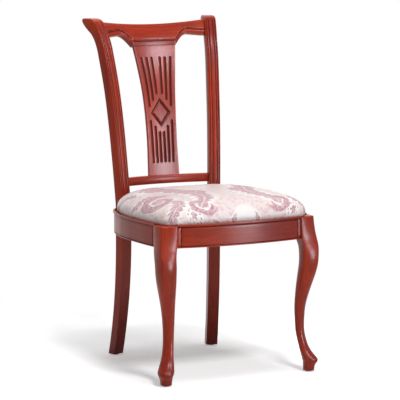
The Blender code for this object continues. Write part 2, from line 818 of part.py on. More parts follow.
# The right block's corners, and points on the faces that the rails meet
BLOCK_INNER_FRONT = LEG_BLOCK + BLOCK_ACROSS * BLOCK_HALF_WIDTH
BLOCK_INNER_REAR = LEG_BLOCK - BLOCK_OUT * BLOCK_HALF_DEPTH
BLOCK_OUTER_REAR = LEG_BLOCK - BLOCK_ACROSS * BLOCK_HALF_WIDTH
INNER_FACE = unit(BLOCK_INNER_REAR - BLOCK_INNER_FRONT)
INNER_NORMAL = np.array((-INNER_FACE[1], INNER_FACE[0]))
REAR_FACE = unit(BLOCK_OUTER_REAR - BLOCK_INNER_REAR)
REAR_NORMAL = np.array((-REAR_FACE[1], REAR_FACE[0]))


# Seat rails
def front_arc(across, inset=0.0):
    """How far the front rail's face, or a line inset from it, lies behind the face's middle."""
    return FRONT_ARC_RADIUS - math.sqrt((FRONT_ARC_RADIUS - inset) ** 2 - across**2)


FRONT_END = BLOCK_INNER_FRONT + INNER_FACE * BLOCK_PROUD + INNER_NORMAL * GAP
FRONT_FACE_Y = FRONT_END[1] - front_arc(FRONT_END[0])
FRONT_INNER_END = FRONT_END + INNER_FACE * RAIL_THICK
SIDE_START = BLOCK_OUTER_REAR - REAR_FACE * BLOCK_PROUD + REAR_NORMAL * GAP
SIDE_INNER_START = SIDE_START - REAR_FACE * RAIL_THICK
SEAT_POST = post_front(FRAME_TOP)
SIDE_END = SEAT_POST + OUTWARD * (POST_WIDTH / 2 - SIDE_END_INSET) - REARWARD * GAP
SIDE_INNER_END = SIDE_END - OUTWARD * SIDE_END_THICK
side_curve = smooth_table(SIDE_CURVE_shares)


def side_face(share):
    """A point on the right side rail's outer face, from its front end to its rear end."""
    out = side_curve(share)[0]
    x = SIDE_END[0] + (SIDE_START[0] - SIDE_END[0]) * out
    return np.array((x, SIDE_START[1] + (SIDE_END[1] - SIDE_START[1]) * share))


def side_inset(share, inset):
    """The same point moved square to the face, towards the seat's middle."""
    ahead = side_face(min(1, share + SIDE_STEP_share)) - side_face(max(0, share - SIDE_STEP_share))
    return side_face(share) + unit((-ahead[1], ahead[0])) * inset


def rail_profile():
    """The outer side of a seat rail: bottom bead, groove, field, groove and lip. Out, then height."""
    bead = RAIL_BEAD / 2
    turn = bead * BEAD_TURN_share
    lip_top = FRAME_TOP + LIP_RISE
    lip_low = lip_top - LIP_HEIGHT
    return [
        (-bead, RAIL_BOTTOM),
        (-turn, RAIL_BOTTOM + turn),
        (0, RAIL_BOTTOM + bead),
        (-turn, RAIL_BOTTOM + RAIL_BEAD - turn),
        (-RAIL_GROOVE, RAIL_BOTTOM + RAIL_BEAD),
        (0, RAIL_BOTTOM + RAIL_BEAD + RAIL_GROOVE),
        (0, lip_low - 2 * RAIL_GROOVE),
        (-RAIL_GROOVE, lip_low - RAIL_GROOVE / 2),
        (LIP_PROUD - LIP_ROUND, lip_low),
        (LIP_PROUD, lip_low + LIP_ROUND),
        (LIP_PROUD, lip_top - LIP_ROUND),
        (LIP_PROUD - LIP_ROUND, lip_top),
        (LIP_ROUND - LIP_BACK, lip_top),
        (-LIP_BACK, lip_top - LIP_ROUND),
        (-LIP_BACK, FRAME_TOP),
    ]


def swept_rail(name, stations, look):
    """A seat rail through stations of one outer and one inner plan point each."""
    rings = []
    for outer, inner in stations:
        out = unit(np.array(outer) - np.array(inner))
        ring = [with_height(outer + out * reach, height) for reach, height in rail_profile()]
        ring += [with_height(inner, FRAME_TOP), with_height(inner, RAIL_BOTTOM)]
        rings.append(ring)
    return loft(name, rings, look)


def front_stations():
    stations = []
    for step in range(1, FRONT_STEPS):
        angle = math.asin(FRONT_END[0] / FRONT_ARC_RADIUS) * (2 * step / FRONT_STEPS - 1)
        outward = np.array((math.sin(angle), -math.cos(angle)))
        middle = np.array((0, FRONT_FACE_Y + FRONT_ARC_RADIUS))
        inner = middle + outward * (FRONT_ARC_RADIUS - RAIL_THICK)
        stations.append((middle + outward * FRONT_ARC_RADIUS, inner))
    other = np.array((-1, 1))
    return [(FRONT_END * other, FRONT_INNER_END * other)] + stations + [(FRONT_END, FRONT_INNER_END)]


def side_stations():
    stations = [(SIDE_START, SIDE_INNER_START)]
    for share in SIDE_STATION_shares + SIDE_CLOSE_shares:
        stations.append((side_face(share), side_inset(share, RAIL_THICK)))
    return stations + [(SIDE_END, SIDE_INNER_END)]


def panel_line(name, place, inward, low, high):
    """The cutter of an upright incised line on a rail's face."""
    along = unit(inward)
    return bar(name, place, along, PANEL_LINE_DEPTH, PANEL_LINE_WIDTH, low, high)


# The rear seat rail stands between the posts, and its front part carries the board
REAR_RAIL_FRONT = post_inner(FRAME_TOP)[1] - REAR_RAIL_FRONT_SET
REAR_RAIL_END = post_inner(FRAME_TOP)[0] - GAP
REAR_TENON_Y = REAR_RAIL_FRONT + REAR_RAIL_THICK - REAR_TENON_BACK_SET


def rear_rail_rings():
    rings = []
    back = REAR_RAIL_FRONT + REAR_RAIL_THICK
    edge = REAR_RAIL_EDGE
    for side in (-1, 1):
        x = side * REAR_RAIL_END
        section = [
            (REAR_RAIL_FRONT, RAIL_BOTTOM + edge),
            (REAR_RAIL_FRONT, FRAME_TOP),
            (back - edge, FRAME_TOP),
            (back, FRAME_TOP - edge),
            (back, RAIL_BOTTOM + edge),
            (back - edge, RAIL_BOTTOM),
            (REAR_RAIL_FRONT + edge, RAIL_BOTTOM),
        ]
        rings.append([(x, y, z) for y, z in section])
    return rings


# Tenons of the seat rails, or with grow the cutters of their mortises
FRONT_TENON = (FRONT_END + FRONT_INNER_END) / 2
SIDE_TENON = (SIDE_START + SIDE_INNER_START) / 2
SEAT_TENON_LOW = RAIL_BOTTOM + SEAT_TENON_SHOULDER
SEAT_TENON_HIGH = FRAME_TOP - SEAT_TENON_SHOULDER
POST_TENON = SIDE_END - OUTWARD * SIDE_END_THICK / 2
POST_TENON_LOW = RAIL_BOTTOM + POST_TENON_RISE
REAR_TENON_LOW = RAIL_BOTTOM + REAR_TENON_RISE


def seat_tenon(name, root, along, grow):
    length = SEAT_TENON_LENGTH
    return bar(name, root, along, length, SEAT_TENON_THICK, SEAT_TENON_LOW, SEAT_TENON_HIGH, grow)


def front_tenon(name, side, grow=0.0):
    flip = np.array((side, 1))
    return seat_tenon(name, FRONT_TENON * flip, -INNER_NORMAL * flip, grow)


def side_tenon(name, grow=0.0):
    return seat_tenon(name, SIDE_TENON, -REAR_NORMAL, grow)


def post_tenon(name, grow=0.0):
    high = POST_TENON_LOW + POST_TENON_HEIGHT
    return bar(name, POST_TENON, REARWARD, POST_TENON_LENGTH, SEAT_TENON_THICK, POST_TENON_LOW, high, grow)


def rear_tenon(name, side, grow=0.0):
    root = (side * REAR_RAIL_END, REAR_TENON_Y)
    high = REAR_TENON_LOW + REAR_TENON_HEIGHT
    return bar(name, root, (side, 0), REAR_TENON_LENGTH, REAR_TENON_THICK, REAR_TENON_LOW, high, grow)


# Screws, and the levels of the corner blocks that they go through
BLOCK_LOW = RAIL_BOTTOM + BLOCK_RISE
BLOCK_HIGH = FRAME_TOP - BLOCK_BELOW_FRAME
SEAT_SCREW_LENGTH = FRAME_TOP + SEAT_SCREW_BITE - BLOCK_LOW


def screw_profile(length):
    return [
        (0, SCREW_HEAD_RADIUS),
        (SCREW_HEAD_HEIGHT, SCREW_RADIUS),
        (length - SCREW_POINT, SCREW_RADIUS),
        (length, SCREW_RADIUS / 4),
    ]


def screw_hole(name, head, axis, length, above):
    """The cutter of a screw's hole, with room for its head and its way in."""
    grown = [
        (-above, SCREW_HEAD_RADIUS + GAP),
        (0, SCREW_HEAD_RADIUS + GAP),
        (SCREW_HEAD_HEIGHT, SCREW_RADIUS + GAP),
        (length + GAP, SCREW_RADIUS + GAP),
    ]
    return turned(name, head, axis, grown, SCREW_SIDES)


# Seat outline
def cushion_outline():
    """Points round the cushion where it is widest, from the middle of the front."""
    half = []
    front_middle = FRONT_FACE_Y + CUSHION_FRONT_SET
    corner = LEG_BLOCK + BLOCK_OUT * BLOCK_HALF_DEPTH
    centre = np.array((corner[0] - CUSHION_CORNER_SET, corner[1] - CUSHION_CORNER_SET / 2))
    centre = centre + np.array((-CUSHION_CORNER_RADIUS, CUSHION_CORNER_RADIUS))
    start = centre[1] - CUSHION_CORNER_RADIUS
    for share in CUSHION_FRONT_shares:
        x = share * centre[0]
        half.append((x, front_middle + (start - front_middle) * share**2))
    for turn in CUSHION_CORNER_TURNS:
        half.append(centre + np.array((math.sin(turn), -math.cos(turn))) * CUSHION_CORNER_RADIUS)
    for share in CUSHION_SIDE_shares:
        grown = fade(share, CUSHION_NARROW_share, 1)
        inset = CUSHION_SIDE_SET + (CUSHION_REAR_SIDE_SET - CUSHION_SIDE_SET) * grown
        half.append(side_inset(share, inset))
    rear = SIDE_END[1] - CUSHION_REAR_SET
    half.append((SIDE_INNER_END[0], rear))
    half.append((SIDE_INNER_END[0] / 2, rear + CUSHION_REAR_BOW / 2))
    half.append((0, rear + CUSHION_REAR_BOW))
    other = [(-x, y) for x, y in half[-2:0:-1]]
    return [np.array(point) for point in half + other]


OUTLINE = cushion_outline()
CUSHION_MIDDLE = (OUTLINE[0] + OUTLINE[len(OUTLINE) // 2]) / 2
CUSHION_LOW = FRAME_TOP + GAP
CUSHION_SCALE = SIDE_START[0]


def cushion_section(inset):
    """The profile of the cushion, moved inwards from the cover's outer side by the inset."""
    outer = np.array(CUSHION_PROFILE_shares) * (CUSHION_SCALE, CUSHION_HEIGHT)
    ahead = np.gradient(outer, axis=0)
    normals = np.stack((-ahead[:, 1], ahead[:, 0]), axis=1)
    normals /= np.linalg.norm(normals, axis=1)[:, None]
    return outer + normals * inset


def scaled_outline(share):
    return [mix(CUSHION_MIDDLE, point, share) for point in OUTLINE]


def cushion_rings(section):
    rings = []
    for reach, rise in section:
        plan = scaled_outline(reach / CUSHION_SCALE)
        rings.append([with_height(point, CUSHION_LOW + rise) for point in plan])
    return rings


# Make the posts
post = loft("post_right", post_rings(), WOOD)
mortises = [
    post_tenon("side_mortise", TENON_GAP),
    rear_tenon("rear_mortise", 1, TENON_GAP),
    crest_tenon("crest_mortise", 1, TENON_GAP),
    lower_tenon("lower_mortise", 1, TENON_GAP),
]
post_foot = post_front(FOOT_LOW) + REARWARD * POST_FOOT_DEPTH / 2


def pin_hole(foot):
    hole = [(-OVERRUN, GLIDE_PIN_RADIUS + GAP), (GLIDE_PIN_LENGTH + GAP, GLIDE_PIN_RADIUS + GAP)]
    return turned("pin_hole", with_height(foot, FOOT_LOW), (0, 0, 1), hole, SCREW_SIDES)


combine(post, mortises + [pin_hole(post_foot)], "DIFFERENCE")
mirrored(post, "post_left", WOOD)

# Make the crest rail, with its scallops closely stepped
even = [step / CREST_STEPS for step in range(CREST_STEPS + 1)]
runs = [CREST_FLAT_HALF + SCALLOP_RUN * step / SCALLOP_STEPS for step in range(SCALLOP_STEPS + 1)]
close = [run / post_inner(CREST_END_TOP)[0] for run in runs]
shares = sorted(set(even + close))
steps = [-share for share in reversed(shares[1:])] + shares
crest = loft("crest_rail", [crest_ring(share) for share in steps], WOOD)
combine(crest, [crest_tenon("crest_tenon", side) for side in (-1, 1)], "UNION")
crest_slot = splat_tongue("crest_slot", SPLAT_HIGH, SPLAT_HIGH + SPLAT_TONGUE, TENON_GAP)
combine(crest, [crest_slot], "DIFFERENCE")

# Make the lower back rail
lower_rings = [lower_rail_ring(2 * step / LOWER_RAIL_STEPS - 1) for step in range(LOWER_RAIL_STEPS + 1)]
lower = loft("lower_back_rail", lower_rings, WOOD)
combine(lower, [lower_tenon("lower_tenon", side) for side in (-1, 1)], "UNION")
lower_slot = splat_tongue("lower_slot", SPLAT_LOW, SPLAT_LOW - SPLAT_TONGUE, TENON_GAP)
combine(lower, [lower_slot], "DIFFERENCE")

# Make the splat, with its tongues, flutes and diamond
splat_rings = []
for step in range(SPLAT_STEPS + 1):
    share = step / SPLAT_STEPS
    height = SPLAT_LOW + (SPLAT_HIGH - SPLAT_LOW) * share
    splat_rings.append(splat_ring(height, splat_half(share), SPLAT_SET, SPLAT_THICK))
splat = loft("splat", splat_rings, WOOD, folded=True)
tongues = [
    splat_tongue("low_tongue", SPLAT_LOW, SPLAT_LOW - SPLAT_TONGUE),
    splat_tongue("high_tongue", SPLAT_HIGH, SPLAT_HIGH + SPLAT_TONGUE),
]
combine(splat, tongues, "UNION")
carving = [diamond_cutter()]
for side in (-1, 1):
    for index, places in enumerate(UPPER_FLUTE_shares + LOWER_FLUTE_shares):
        carving.append(flute_cutter(f"flute_{index}", *places, side))
combine(splat, carving, "DIFFERENCE")

# Make the front legs
leg = loft("front_leg_right", leg_rings(), WOOD)
leg_foot = LEG_BLOCK + LEG_OUT * (CABRIOLE_shares[0][1] * LEG_SWING - BLOCK_SWING) + LEG_ACROSS * LEG_SLIP
leg_mortises = [front_tenon("front_mortise", 1, TENON_GAP), side_tenon("side_mortise", TENON_GAP)]
combine(leg, leg_mortises + [pin_hole(leg_foot)], "DIFFERENCE")
mirrored(leg, "front_leg_left", WOOD)

# Make the seat rails
front_rail = swept_rail("front_rail", front_stations(), WOOD)
combine(front_rail, [front_tenon("front_tenon", side) for side in (-1, 1)], "UNION")

side_rail = swept_rail("side_rail_right", side_stations(), WOOD)
combine(side_rail, [side_tenon("side_tenon"), post_tenon("post_tenon")], "UNION")

rear_rail = loft("rear_seat_rail", rear_rail_rings(), DARK_WOOD)
combine(rear_rail, [rear_tenon("rear_tenon", side) for side in (-1, 1)], "UNION")

# The incised lines that close each rail's panel at its ends
line_low = RAIL_BOTTOM + RAIL_BEAD + RAIL_GROOVE
line_high = FRAME_TOP + LIP_RISE - LIP_HEIGHT - 2 * RAIL_GROOVE
front_lines = []
for side in (-1, 1):
    flip = np.array((side, 1))
    angle = math.asin((FRONT_END[0] - PANEL_LINE_FROM_END) / FRONT_ARC_RADIUS)
    outward = np.array((math.sin(angle), -math.cos(angle)))
    place = np.array((0, FRONT_FACE_Y + FRONT_ARC_RADIUS)) + outward * FRONT_ARC_RADIUS
    front_lines.append(panel_line("front_line", place * flip, -outward * flip, line_low, line_high))
combine(front_rail, front_lines, "DIFFERENCE")
line_share = PANEL_LINE_FROM_END / (SIDE_END[1] - SIDE_START[1])
line_place = side_face(line_share)
line_inward = side_inset(line_share, RAIL_THICK) - line_place
combine(side_rail, [panel_line("side_line", line_place, line_inward, line_low, line_high)], "DIFFERENCE")


# Corner blocks: the outline of each, and where its screws stand
REAR_BLOCK_INNER_X = REAR_RAIL_END - REAR_BLOCK_REACH
REAR_BLOCK_FORE_Y = REAR_RAIL_FRONT - REAR_BLOCK_DEPTH


def inner_side_at(back):
    """The plan point of the right side rail's inner face at a distance back."""
    inner = np.array([station[1] for station in side_stations()])
    return np.array((np.interp(back, inner[:, 1], inner[:, 0]), back))


def front_inner(x):
    return np.array((x, FRONT_FACE_Y + front_arc(x, RAIL_THICK + GAP)))


front_corner = FRONT_INNER_END + INNER_FACE * GAP
front_start = front_inner(front_corner[0] - FRONT_BLOCK_REACH)
notch = BLOCK_INNER_REAR + (INNER_NORMAL + REAR_NORMAL) * GAP
side_corner = SIDE_INNER_START - REAR_FACE * 2 * GAP
side_stop = inner_side_at(side_corner[1] + FRONT_BLOCK_REACH) - np.array((2 * GAP, 0))
front_block_outline = [front_start, front_corner, notch, side_corner, side_stop]

rear_start = np.array((REAR_BLOCK_INNER_X, REAR_RAIL_FRONT - GAP))
rear_corner = inner_side_at(rear_start[1]) - np.array((2 * GAP, 0))
rear_stop = inner_side_at(REAR_BLOCK_FORE_Y) - np.array((2 * GAP, 0))
rail_inside = [inner - GAP for _, inner in side_stations()[::-1]]
shoulder_points = [point for point in rail_inside if rear_stop[1] < point[1] < rear_corner[1]]
rear_block_outline = [rear_start, rear_corner] + shoulder_points + [rear_stop]

block_middle = (BLOCK_LOW + BLOCK_HIGH) / 2


def rail_screw(face, direction, height):
    """Head place and axis of a screw that goes square through a block into a rail."""
    direction = unit(direction)
    head = np.array(face) - direction * SCREW_GRIP
    return (head[0], head[1], height), (direction[0], direction[1], 0)


front_screw_place = mix(front_start, front_corner, FRONT_SCREW_share)
side_screw_place = mix(side_corner, side_stop, SIDE_SCREW_share)
rear_screw_place = mix(rear_start, rear_corner, REAR_SCREW_share)
shoulder_screw_place = mix(rear_corner, rear_stop, SHOULDER_SCREW_share)
shoulder_way = rear_stop - rear_corner
block_screws = {
    "front": [
        rail_screw(front_screw_place, (0, -1), block_middle + SCREW_STEP),
        rail_screw(side_screw_place, (1, 0), block_middle - SCREW_STEP),
    ],
    "rear": [
        rail_screw(rear_screw_place, (0, 1), block_middle + SCREW_STEP),
        rail_screw(shoulder_screw_place, (-shoulder_way[1], shoulder_way[0]), block_middle - SCREW_STEP),
    ],
}
seat_screws = {
    "front": with_height(notch + unit((-1, 1)) * SEAT_SCREW_SET, BLOCK_LOW),
    "rear": with_height(rear_corner + unit((-1, -1)) * SEAT_SCREW_SET, BLOCK_LOW),
}


def block_of(end, outline):
    """One corner block with its screw holes, and the holes of its screws in the rails."""
    block = prism(f"corner_block_{end}_right", outline, BLOCK_LOW, BLOCK_HIGH, BARE_WOOD)
    holes = []
    for index, (head, axis) in enumerate(block_screws[end]):
        holes.append(screw_hole(f"hole_{index}", head, axis, SCREW_LENGTH, RAIL_THICK))
    holes.append(screw_hole("seat_hole", seat_screws[end], (0, 0, 1), SEAT_SCREW_LENGTH, OVERRUN))
    combine(block, holes, "DIFFERENCE")
    mirrored(block, f"corner_block_{end}_left", BARE_WOOD)


block_of("front", front_block_outline)
block_of("rear", rear_block_outline)


def screw_node(name, head, axis, length, side):
    place = (head[0] * side, head[1], head[2])
    way = (axis[0] * side, axis[1], axis[2])
    turned(name, place, way, screw_profile(length), SCREW_SIDES, STEEL)


def rail_hole(screw, side=1):
    head, axis = screw
    place = (head[0] * side, head[1], head[2])
    return screw_hole("rail_hole", place, (axis[0] * side, axis[1], axis[2]), SCREW_LENGTH, OVERRUN)


combine(front_rail, [rail_hole(block_screws["front"][0], side) for side in (-1, 1)], "DIFFERENCE")
combine(rear_rail, [rail_hole(block_screws["rear"][0], side) for side in (-1, 1)], "DIFFERENCE")
combine(side_rail, [rail_hole(block_screws["front"][1]), rail_hole(block_screws["rear"][1])], "DIFFERENCE")
mirrored(side_rail, "side_rail_left", WOOD)

for side, label in ((-1, "left"), (1, "right")):
    for end in ("front", "rear"):
        for index, (head, axis) in enumerate(block_screws[end]):
            screw_node(f"block_screw_{end}_{label}_{index + 1}", head, axis, SCREW_LENGTH, side)
        screw_node(f"seat_screw_{end}_{label}", seat_screws[end], (0, 0, 1), SEAT_SCREW_LENGTH, side)

# Make the loose seat: a cover that turns under the board, the board, the pad and the cloth below
outer_rings = cushion_rings(cushion_section(0))
inner_rings = cushion_rings(cushion_section(COVER_THICK))
cover = loft("seat_cover", outer_rings[::-1] + inner_rings, DAMASK)


def seat_holes():
    holes = []
    for end in ("front", "rear"):
        for side in (-1, 1):
            x, y, z = seat_screws[end]
            head = (x * side, y, z)
            holes.append(screw_hole(f"seat_hole_{end}", head, (0, 0, 1), SEAT_SCREW_LENGTH, OVERRUN))
    return holes


combine(cover, seat_holes(), "DIFFERENCE")

board_low = CUSHION_LOW + COVER_THICK + GAP
board_high = board_low + BOARD_THICK
pad_section = cushion_section(COVER_THICK + GAP)
board_share = pad_section[1, 0] / CUSHION_SCALE
board = prism("seat_board", scaled_outline(board_share), board_low, board_high, PLYWOOD)
combine(board, seat_holes(), "DIFFERENCE")

pad_low = board_high + GAP - CUSHION_LOW
rising = pad_section[1:]
pad_rows = [row for row in rising if row[1] > pad_low]
pad_start = np.interp(pad_low, rising[:, 1], rising[:, 0])
loft("seat_pad", cushion_rings([(pad_start, pad_low)] + pad_rows), FOAM)

cloth = prism("dust_cloth", scaled_outline(CLOTH_share), FRAME_TOP - CLOTH_THICK, FRAME_TOP, CLOTH)
combine(cloth, seat_holes(), "DIFFERENCE")

# Make the glides
glide_profile = [
    (0, GLIDE_RADIUS - GLIDE_EDGE),
    (GLIDE_EDGE, GLIDE_RADIUS),
    (GLIDE_HEIGHT, GLIDE_RADIUS),
    (GLIDE_HEIGHT, GLIDE_PIN_RADIUS),
    (GLIDE_HEIGHT + GLIDE_PIN_LENGTH, GLIDE_PIN_RADIUS),
]
for end, foot in (("front", leg_foot), ("rear", post_foot)):
    for side, label in ((-1, "left"), (1, "right")):
        name = f"glide_{end}_{label}"
        turned(name, (foot[0] * side, foot[1], 0), (0, 0, 1), glide_profile, GLIDE_SIDES, NYLON)

# Centre the chair from front to rear on the origin
bpy.context.view_layer.update()
nodes = [item for item in bpy.data.objects if not item.hide_render]
reach = [(item.matrix_world @ Vector(corner)).y for item in nodes for corner in item.bound_box]
middle = (min(reach) + max(reach)) / 2
for item in nodes:
    for vertex in item.data.vertices:
        vertex.co.y -= middle
    item.data.set_sharp_from_angle(angle=SHARP_ANGLE)
    item.data.update()
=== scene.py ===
"""A baroque dining chair: lacquered mahogany frame and a loose seat in damask."""

import math

import bmesh
import bpy
import numpy as np
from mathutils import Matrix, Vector


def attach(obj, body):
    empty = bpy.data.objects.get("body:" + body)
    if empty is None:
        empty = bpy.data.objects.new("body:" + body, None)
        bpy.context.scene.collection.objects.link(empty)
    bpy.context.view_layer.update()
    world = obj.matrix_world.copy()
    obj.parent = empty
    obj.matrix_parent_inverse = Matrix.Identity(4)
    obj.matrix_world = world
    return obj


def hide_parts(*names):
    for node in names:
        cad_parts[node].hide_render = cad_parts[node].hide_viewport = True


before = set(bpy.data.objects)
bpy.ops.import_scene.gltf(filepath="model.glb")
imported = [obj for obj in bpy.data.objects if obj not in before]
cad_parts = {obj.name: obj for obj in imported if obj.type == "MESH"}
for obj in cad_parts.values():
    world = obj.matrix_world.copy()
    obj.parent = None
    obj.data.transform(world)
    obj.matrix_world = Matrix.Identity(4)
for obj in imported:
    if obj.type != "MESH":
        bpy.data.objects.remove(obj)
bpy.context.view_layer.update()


# The studio: a white floor that runs out of sight between white walls, softboxes overhead, in front
# and at the left, and two cool reflector cards that show only as streaks on the lacquer.
CAMERA_PLACE = (-3.0181, -5.9067, 1.3443)
CAMERA_AIM = (0.0029, -0.0355, 0.4810)
CAMERA_LENS = 206.748
CAMERA_ROLL = math.radians(-0.06)
FLOOR_REACH = 60.0
FLOOR_FADE = (0.40, 1.25)
FLOOR_PAINT = (0.95, 0.95, 0.95, 1)
FLOOR_LIFT = 0.38
WALL_LIGHT = 0.12
WHITE = (1, 1, 1, 1)
BLACK = (0, 0, 0, 1)
DAYLIGHT = (1, 1, 1)
COOL = (0.86, 0.9, 1.0)
# name, place, aim, width, height, watts, colour, and whether it shows in gloss and lights surfaces
SOFTBOXES = (
    ("top_softbox", (0.2, -0.35, 3.1), (0, 0, 0), 1.2, 1.2, 58, DAYLIGHT, False, True),
    ("front_softbox", (-0.15, -2.3, 2.8), (0, 0, 0.3), 0.62, 0.62, 57, DAYLIGHT, True, True),
    ("left_softbox", (-2.4, -0.6, 1.7), (0, 0, 0.6), 0.9, 1.6, 3, DAYLIGHT, True, True),
    ("high_card", (1.45, -2.75, 2.55), (0, 0, 0.8), 0.8, 0.7, 66, COOL, True, False),
    ("tall_card", (1.56, -3.05, 0.62), (0, -0.3, 0.5), 0.66, 1.24, 88, COOL, True, False),
)


def linked(name, data):
    """A new object of the scene."""
    made = bpy.data.objects.new(name, data)
    bpy.context.scene.collection.objects.link(made)
    return made


def aimed(name, data, place, aim):
    """A lamp or a camera that stands at a place and faces another."""
    made = linked(name, data)
    made.location = place
    made.rotation_euler = (Vector(aim) - Vector(place)).to_track_quat("-Z", "Y").to_euler()
    return made


def feed(node, inputs):
    """Gives a node its inputs, which are values or sockets."""
    for name, value in inputs.items():
        if isinstance(value, bpy.types.NodeSocket):
            node.id_data.links.new(value, node.inputs[name])
        else:
            node.inputs[name].default_value = value
    return node


def put(tree, kind, inputs=None, **settings):
    """One node of a tree, with its settings and its inputs."""
    node = tree.nodes.new(kind)
    for name, value in settings.items():
        setattr(node, name, value)
    return feed(node, inputs or {})


def sums(operation, *values, clamp=False):
    """One Math node in the tree of its values, which are numbers or sockets, and its result."""
    tree = next(value.id_data for value in values if isinstance(value, bpy.types.NodeSocket))
    inputs = dict(enumerate(values))
    return put(tree, "ShaderNodeMath", inputs, operation=operation, use_clamp=clamp).outputs[0]


def times(first, second):
    return sums("MULTIPLY", first, second)


def ramp(value, start, end, low=0.0, high=1.0, kind="SMOOTHSTEP"):
    """A value run from low at start to high at end, eased or LINEAR."""
    inputs = {"Value": value, "From Min": start, "From Max": end, "To Min": low, "To Max": high}
    return put(value.id_data, "ShaderNodeMapRange", inputs, interpolation_type=kind).outputs[0]


def overlaid(below, colour, share):
    """A colour laid over another by a share."""
    return put(share.id_data, "ShaderNodeMix", {0: share, 6: below, 7: colour}, data_type="RGBA").outputs[2]


def material(name):
    """A new material, its tree of nodes, and its shader."""
    made = bpy.data.materials.new(name)
    made.use_nodes = True
    return made, made.node_tree, made.node_tree.nodes["Principled BSDF"]


def painted(piece, finish):
    """Gives a piece one finish all over."""
    piece.data.materials.clear()
    piece.data.materials.append(finish)


def seen_directly(tree):
    """1 for what is seen straight, in a gloss or through glass, and 0 for light on its way."""
    path = put(tree, "ShaderNodeLightPath").outputs
    mirrored = sums("MAXIMUM", path["Is Glossy Ray"], path["Is Transmission Ray"])
    return sums("MAXIMUM", path["Is Camera Ray"], mirrored)


camera_lens = bpy.data.cameras.new("camera")
camera_lens.lens = CAMERA_LENS
camera_lens.clip_end = 2 * FLOOR_REACH
camera = aimed("camera", camera_lens, CAMERA_PLACE, CAMERA_AIM)
camera.rotation_euler.rotate_axis("Z", CAMERA_ROLL)
bpy.context.scene.camera = camera
bpy.context.scene.view_settings.view_transform = "Standard"

for name, place, aim, width, height, watts, colour, in_gloss, on_surfaces in SOFTBOXES:
    light = bpy.data.lights.new(name, "AREA")
    light.shape = "RECTANGLE"
    light.size = width
    light.size_y = height
    light.energy = watts
    light.color = colour
    lamp = aimed(name, light, place, aim)
    lamp.visible_glossy = in_gloss
    lamp.visible_diffuse = on_surfaces

world = bpy.data.worlds.new("white_walls")
world.use_nodes = True
bpy.context.scene.world = world
strength = ramp(seen_directly(world.node_tree), 0.0, 1.0, WALL_LIGHT, 1.0, "LINEAR")
feed(world.node_tree.nodes["Background"], {"Color": WHITE, "Strength": strength})

floor_mesh = bpy.data.meshes.new("floor")
corners = [(FLOOR_REACH * x, FLOOR_REACH * y, 0) for x, y in ((-1, -1), (1, -1), (1, 1), (-1, 1))]
floor_mesh.from_pydata(corners, [], [(0, 1, 2, 3)])
floor = linked("floor", floor_mesh)
floor_paint, tree, shader = material("floor_paint")
place = put(tree, "ShaderNodeTexCoord").outputs["Object"]
away = put(tree, "ShaderNodeVectorMath", {0: place}, operation="LENGTH").outputs["Value"]
far = ramp(away, *FLOOR_FADE)
seen = seen_directly(tree)
lift = ramp(far, 0.0, 1.0, FLOOR_LIFT, 1.0, "LINEAR")
paint = {
    "Base Color": overlaid(FLOOR_PAINT, BLACK, times(far, seen)),
    "Roughness": 0.9,
    "Specular IOR Level": 0.0,
    "Emission Color": WHITE,
    "Emission Strength": times(lift, seen),
}
feed(shader, paint)
painted(floor, floor_paint)


# The posts: each is one rear leg and one stile, sawn from a thick board in a long S, with its
# front worked to a reed between two beads, stained to mahogany, and sprayed with gloss lacquer.
GAP = 0.0003
CHAIR_SHIFT = -0.03552
CHAIR_HEIGHT = 0.9970
FOOT_LOW = 0.0033
FRAME_TOP = 0.4490
RAIL_BOTTOM = 0.3860
POST_PLACE = (0.1455, 0.1820)
POST_TOE = math.radians(15)
POST_WIDTH = 0.0345
POST_DEPTHS = (0.0275, 0.0325, 0.0345)
POST_WAIST = 0.3600
POST_SPRING = 0.4550
LEG_RAKE = 0.0400
LEG_SPREAD = 0.0113
BACK_SWEEP = 0.1160
BACK_SPREAD = 0.0436
POST_EDGE = 0.0030
EAR_HEIGHT = 0.0900
EAR_DEPTH = 0.0600
EAR_ROUND = 0.0130
EAR_FRONT_ROUND = 0.0240
EAR_REAR_ROUND = 0.0130
EAR_SIDE_ROUND = 0.0030
REED_DEPTH = 0.0016
REED_START = 0.4600
REED_FADE = 0.0300
REED_END = 0.9940
REED_END_FADE = 0.0080
CREST_LOW = 0.9145
BACK_CURVE = (
    (0.0, 0.0, 0.0),
    (0.12, 0.035, 0.075),
    (0.25, 0.087, 0.15),
    (0.43, 0.178, 0.257),
    (0.61, 0.309, 0.378),
    (0.79, 0.494, 0.553),
    (0.87, 0.609, 0.633),
    (0.94, 0.76, 0.775),
    (1.0, 0.93, 0.93),
)
EAR_SWELL = ((0.0, 0.0), (0.3, 0.11), (0.48, 0.28), (0.6, 0.59), (0.72, 0.88), (0.85, 1.0), (1.0, 1.0))
# Across the half width: place, depth of the moulding, and how dark the stain lies in it, with painted shade
# in the grooves; below 0 it is lighter, with a painted highlight on the beads and at the edge
REED_PROFILE = (
    (0.0, 0.0, 0.0),
    (0.12, 0.05, 0.0),
    (0.24, 0.22, 0.1),
    (0.32, 0.48, 0.5),
    (0.345, 0.8, 0.9),
    (0.36, 1.0, 1.0),
    (0.39, 0.98, 0.9),
    (0.42, 0.62, 0.3),
    (0.48, 0.2, 0.0),
    (0.56, 0.0, -0.2),
    (0.64, 0.08, -0.1),
    (0.70, 0.4, 0.3),
    (0.735, 0.9, 0.9),
    (0.75, 1.0, 1.0),
    (0.77, 0.95, 0.9),
    (0.79, 0.6, 0.4),
    (0.83, 0.15, 0.0),
    (0.88, 0.08, -0.2),
    (0.93, 0.25, -0.5),
    (0.97, 0.6, -0.7),
    (1.0, 1.1, -0.5),
)
CORNER_TURNS = (0.0, 0.1, 0.3, 0.55, 0.8, 1.0)
# the rounded corners lighter: stain wiped off, with a painted highlight on them
CORNER_STAIN_AND_HIGHLIGHT = -0.3
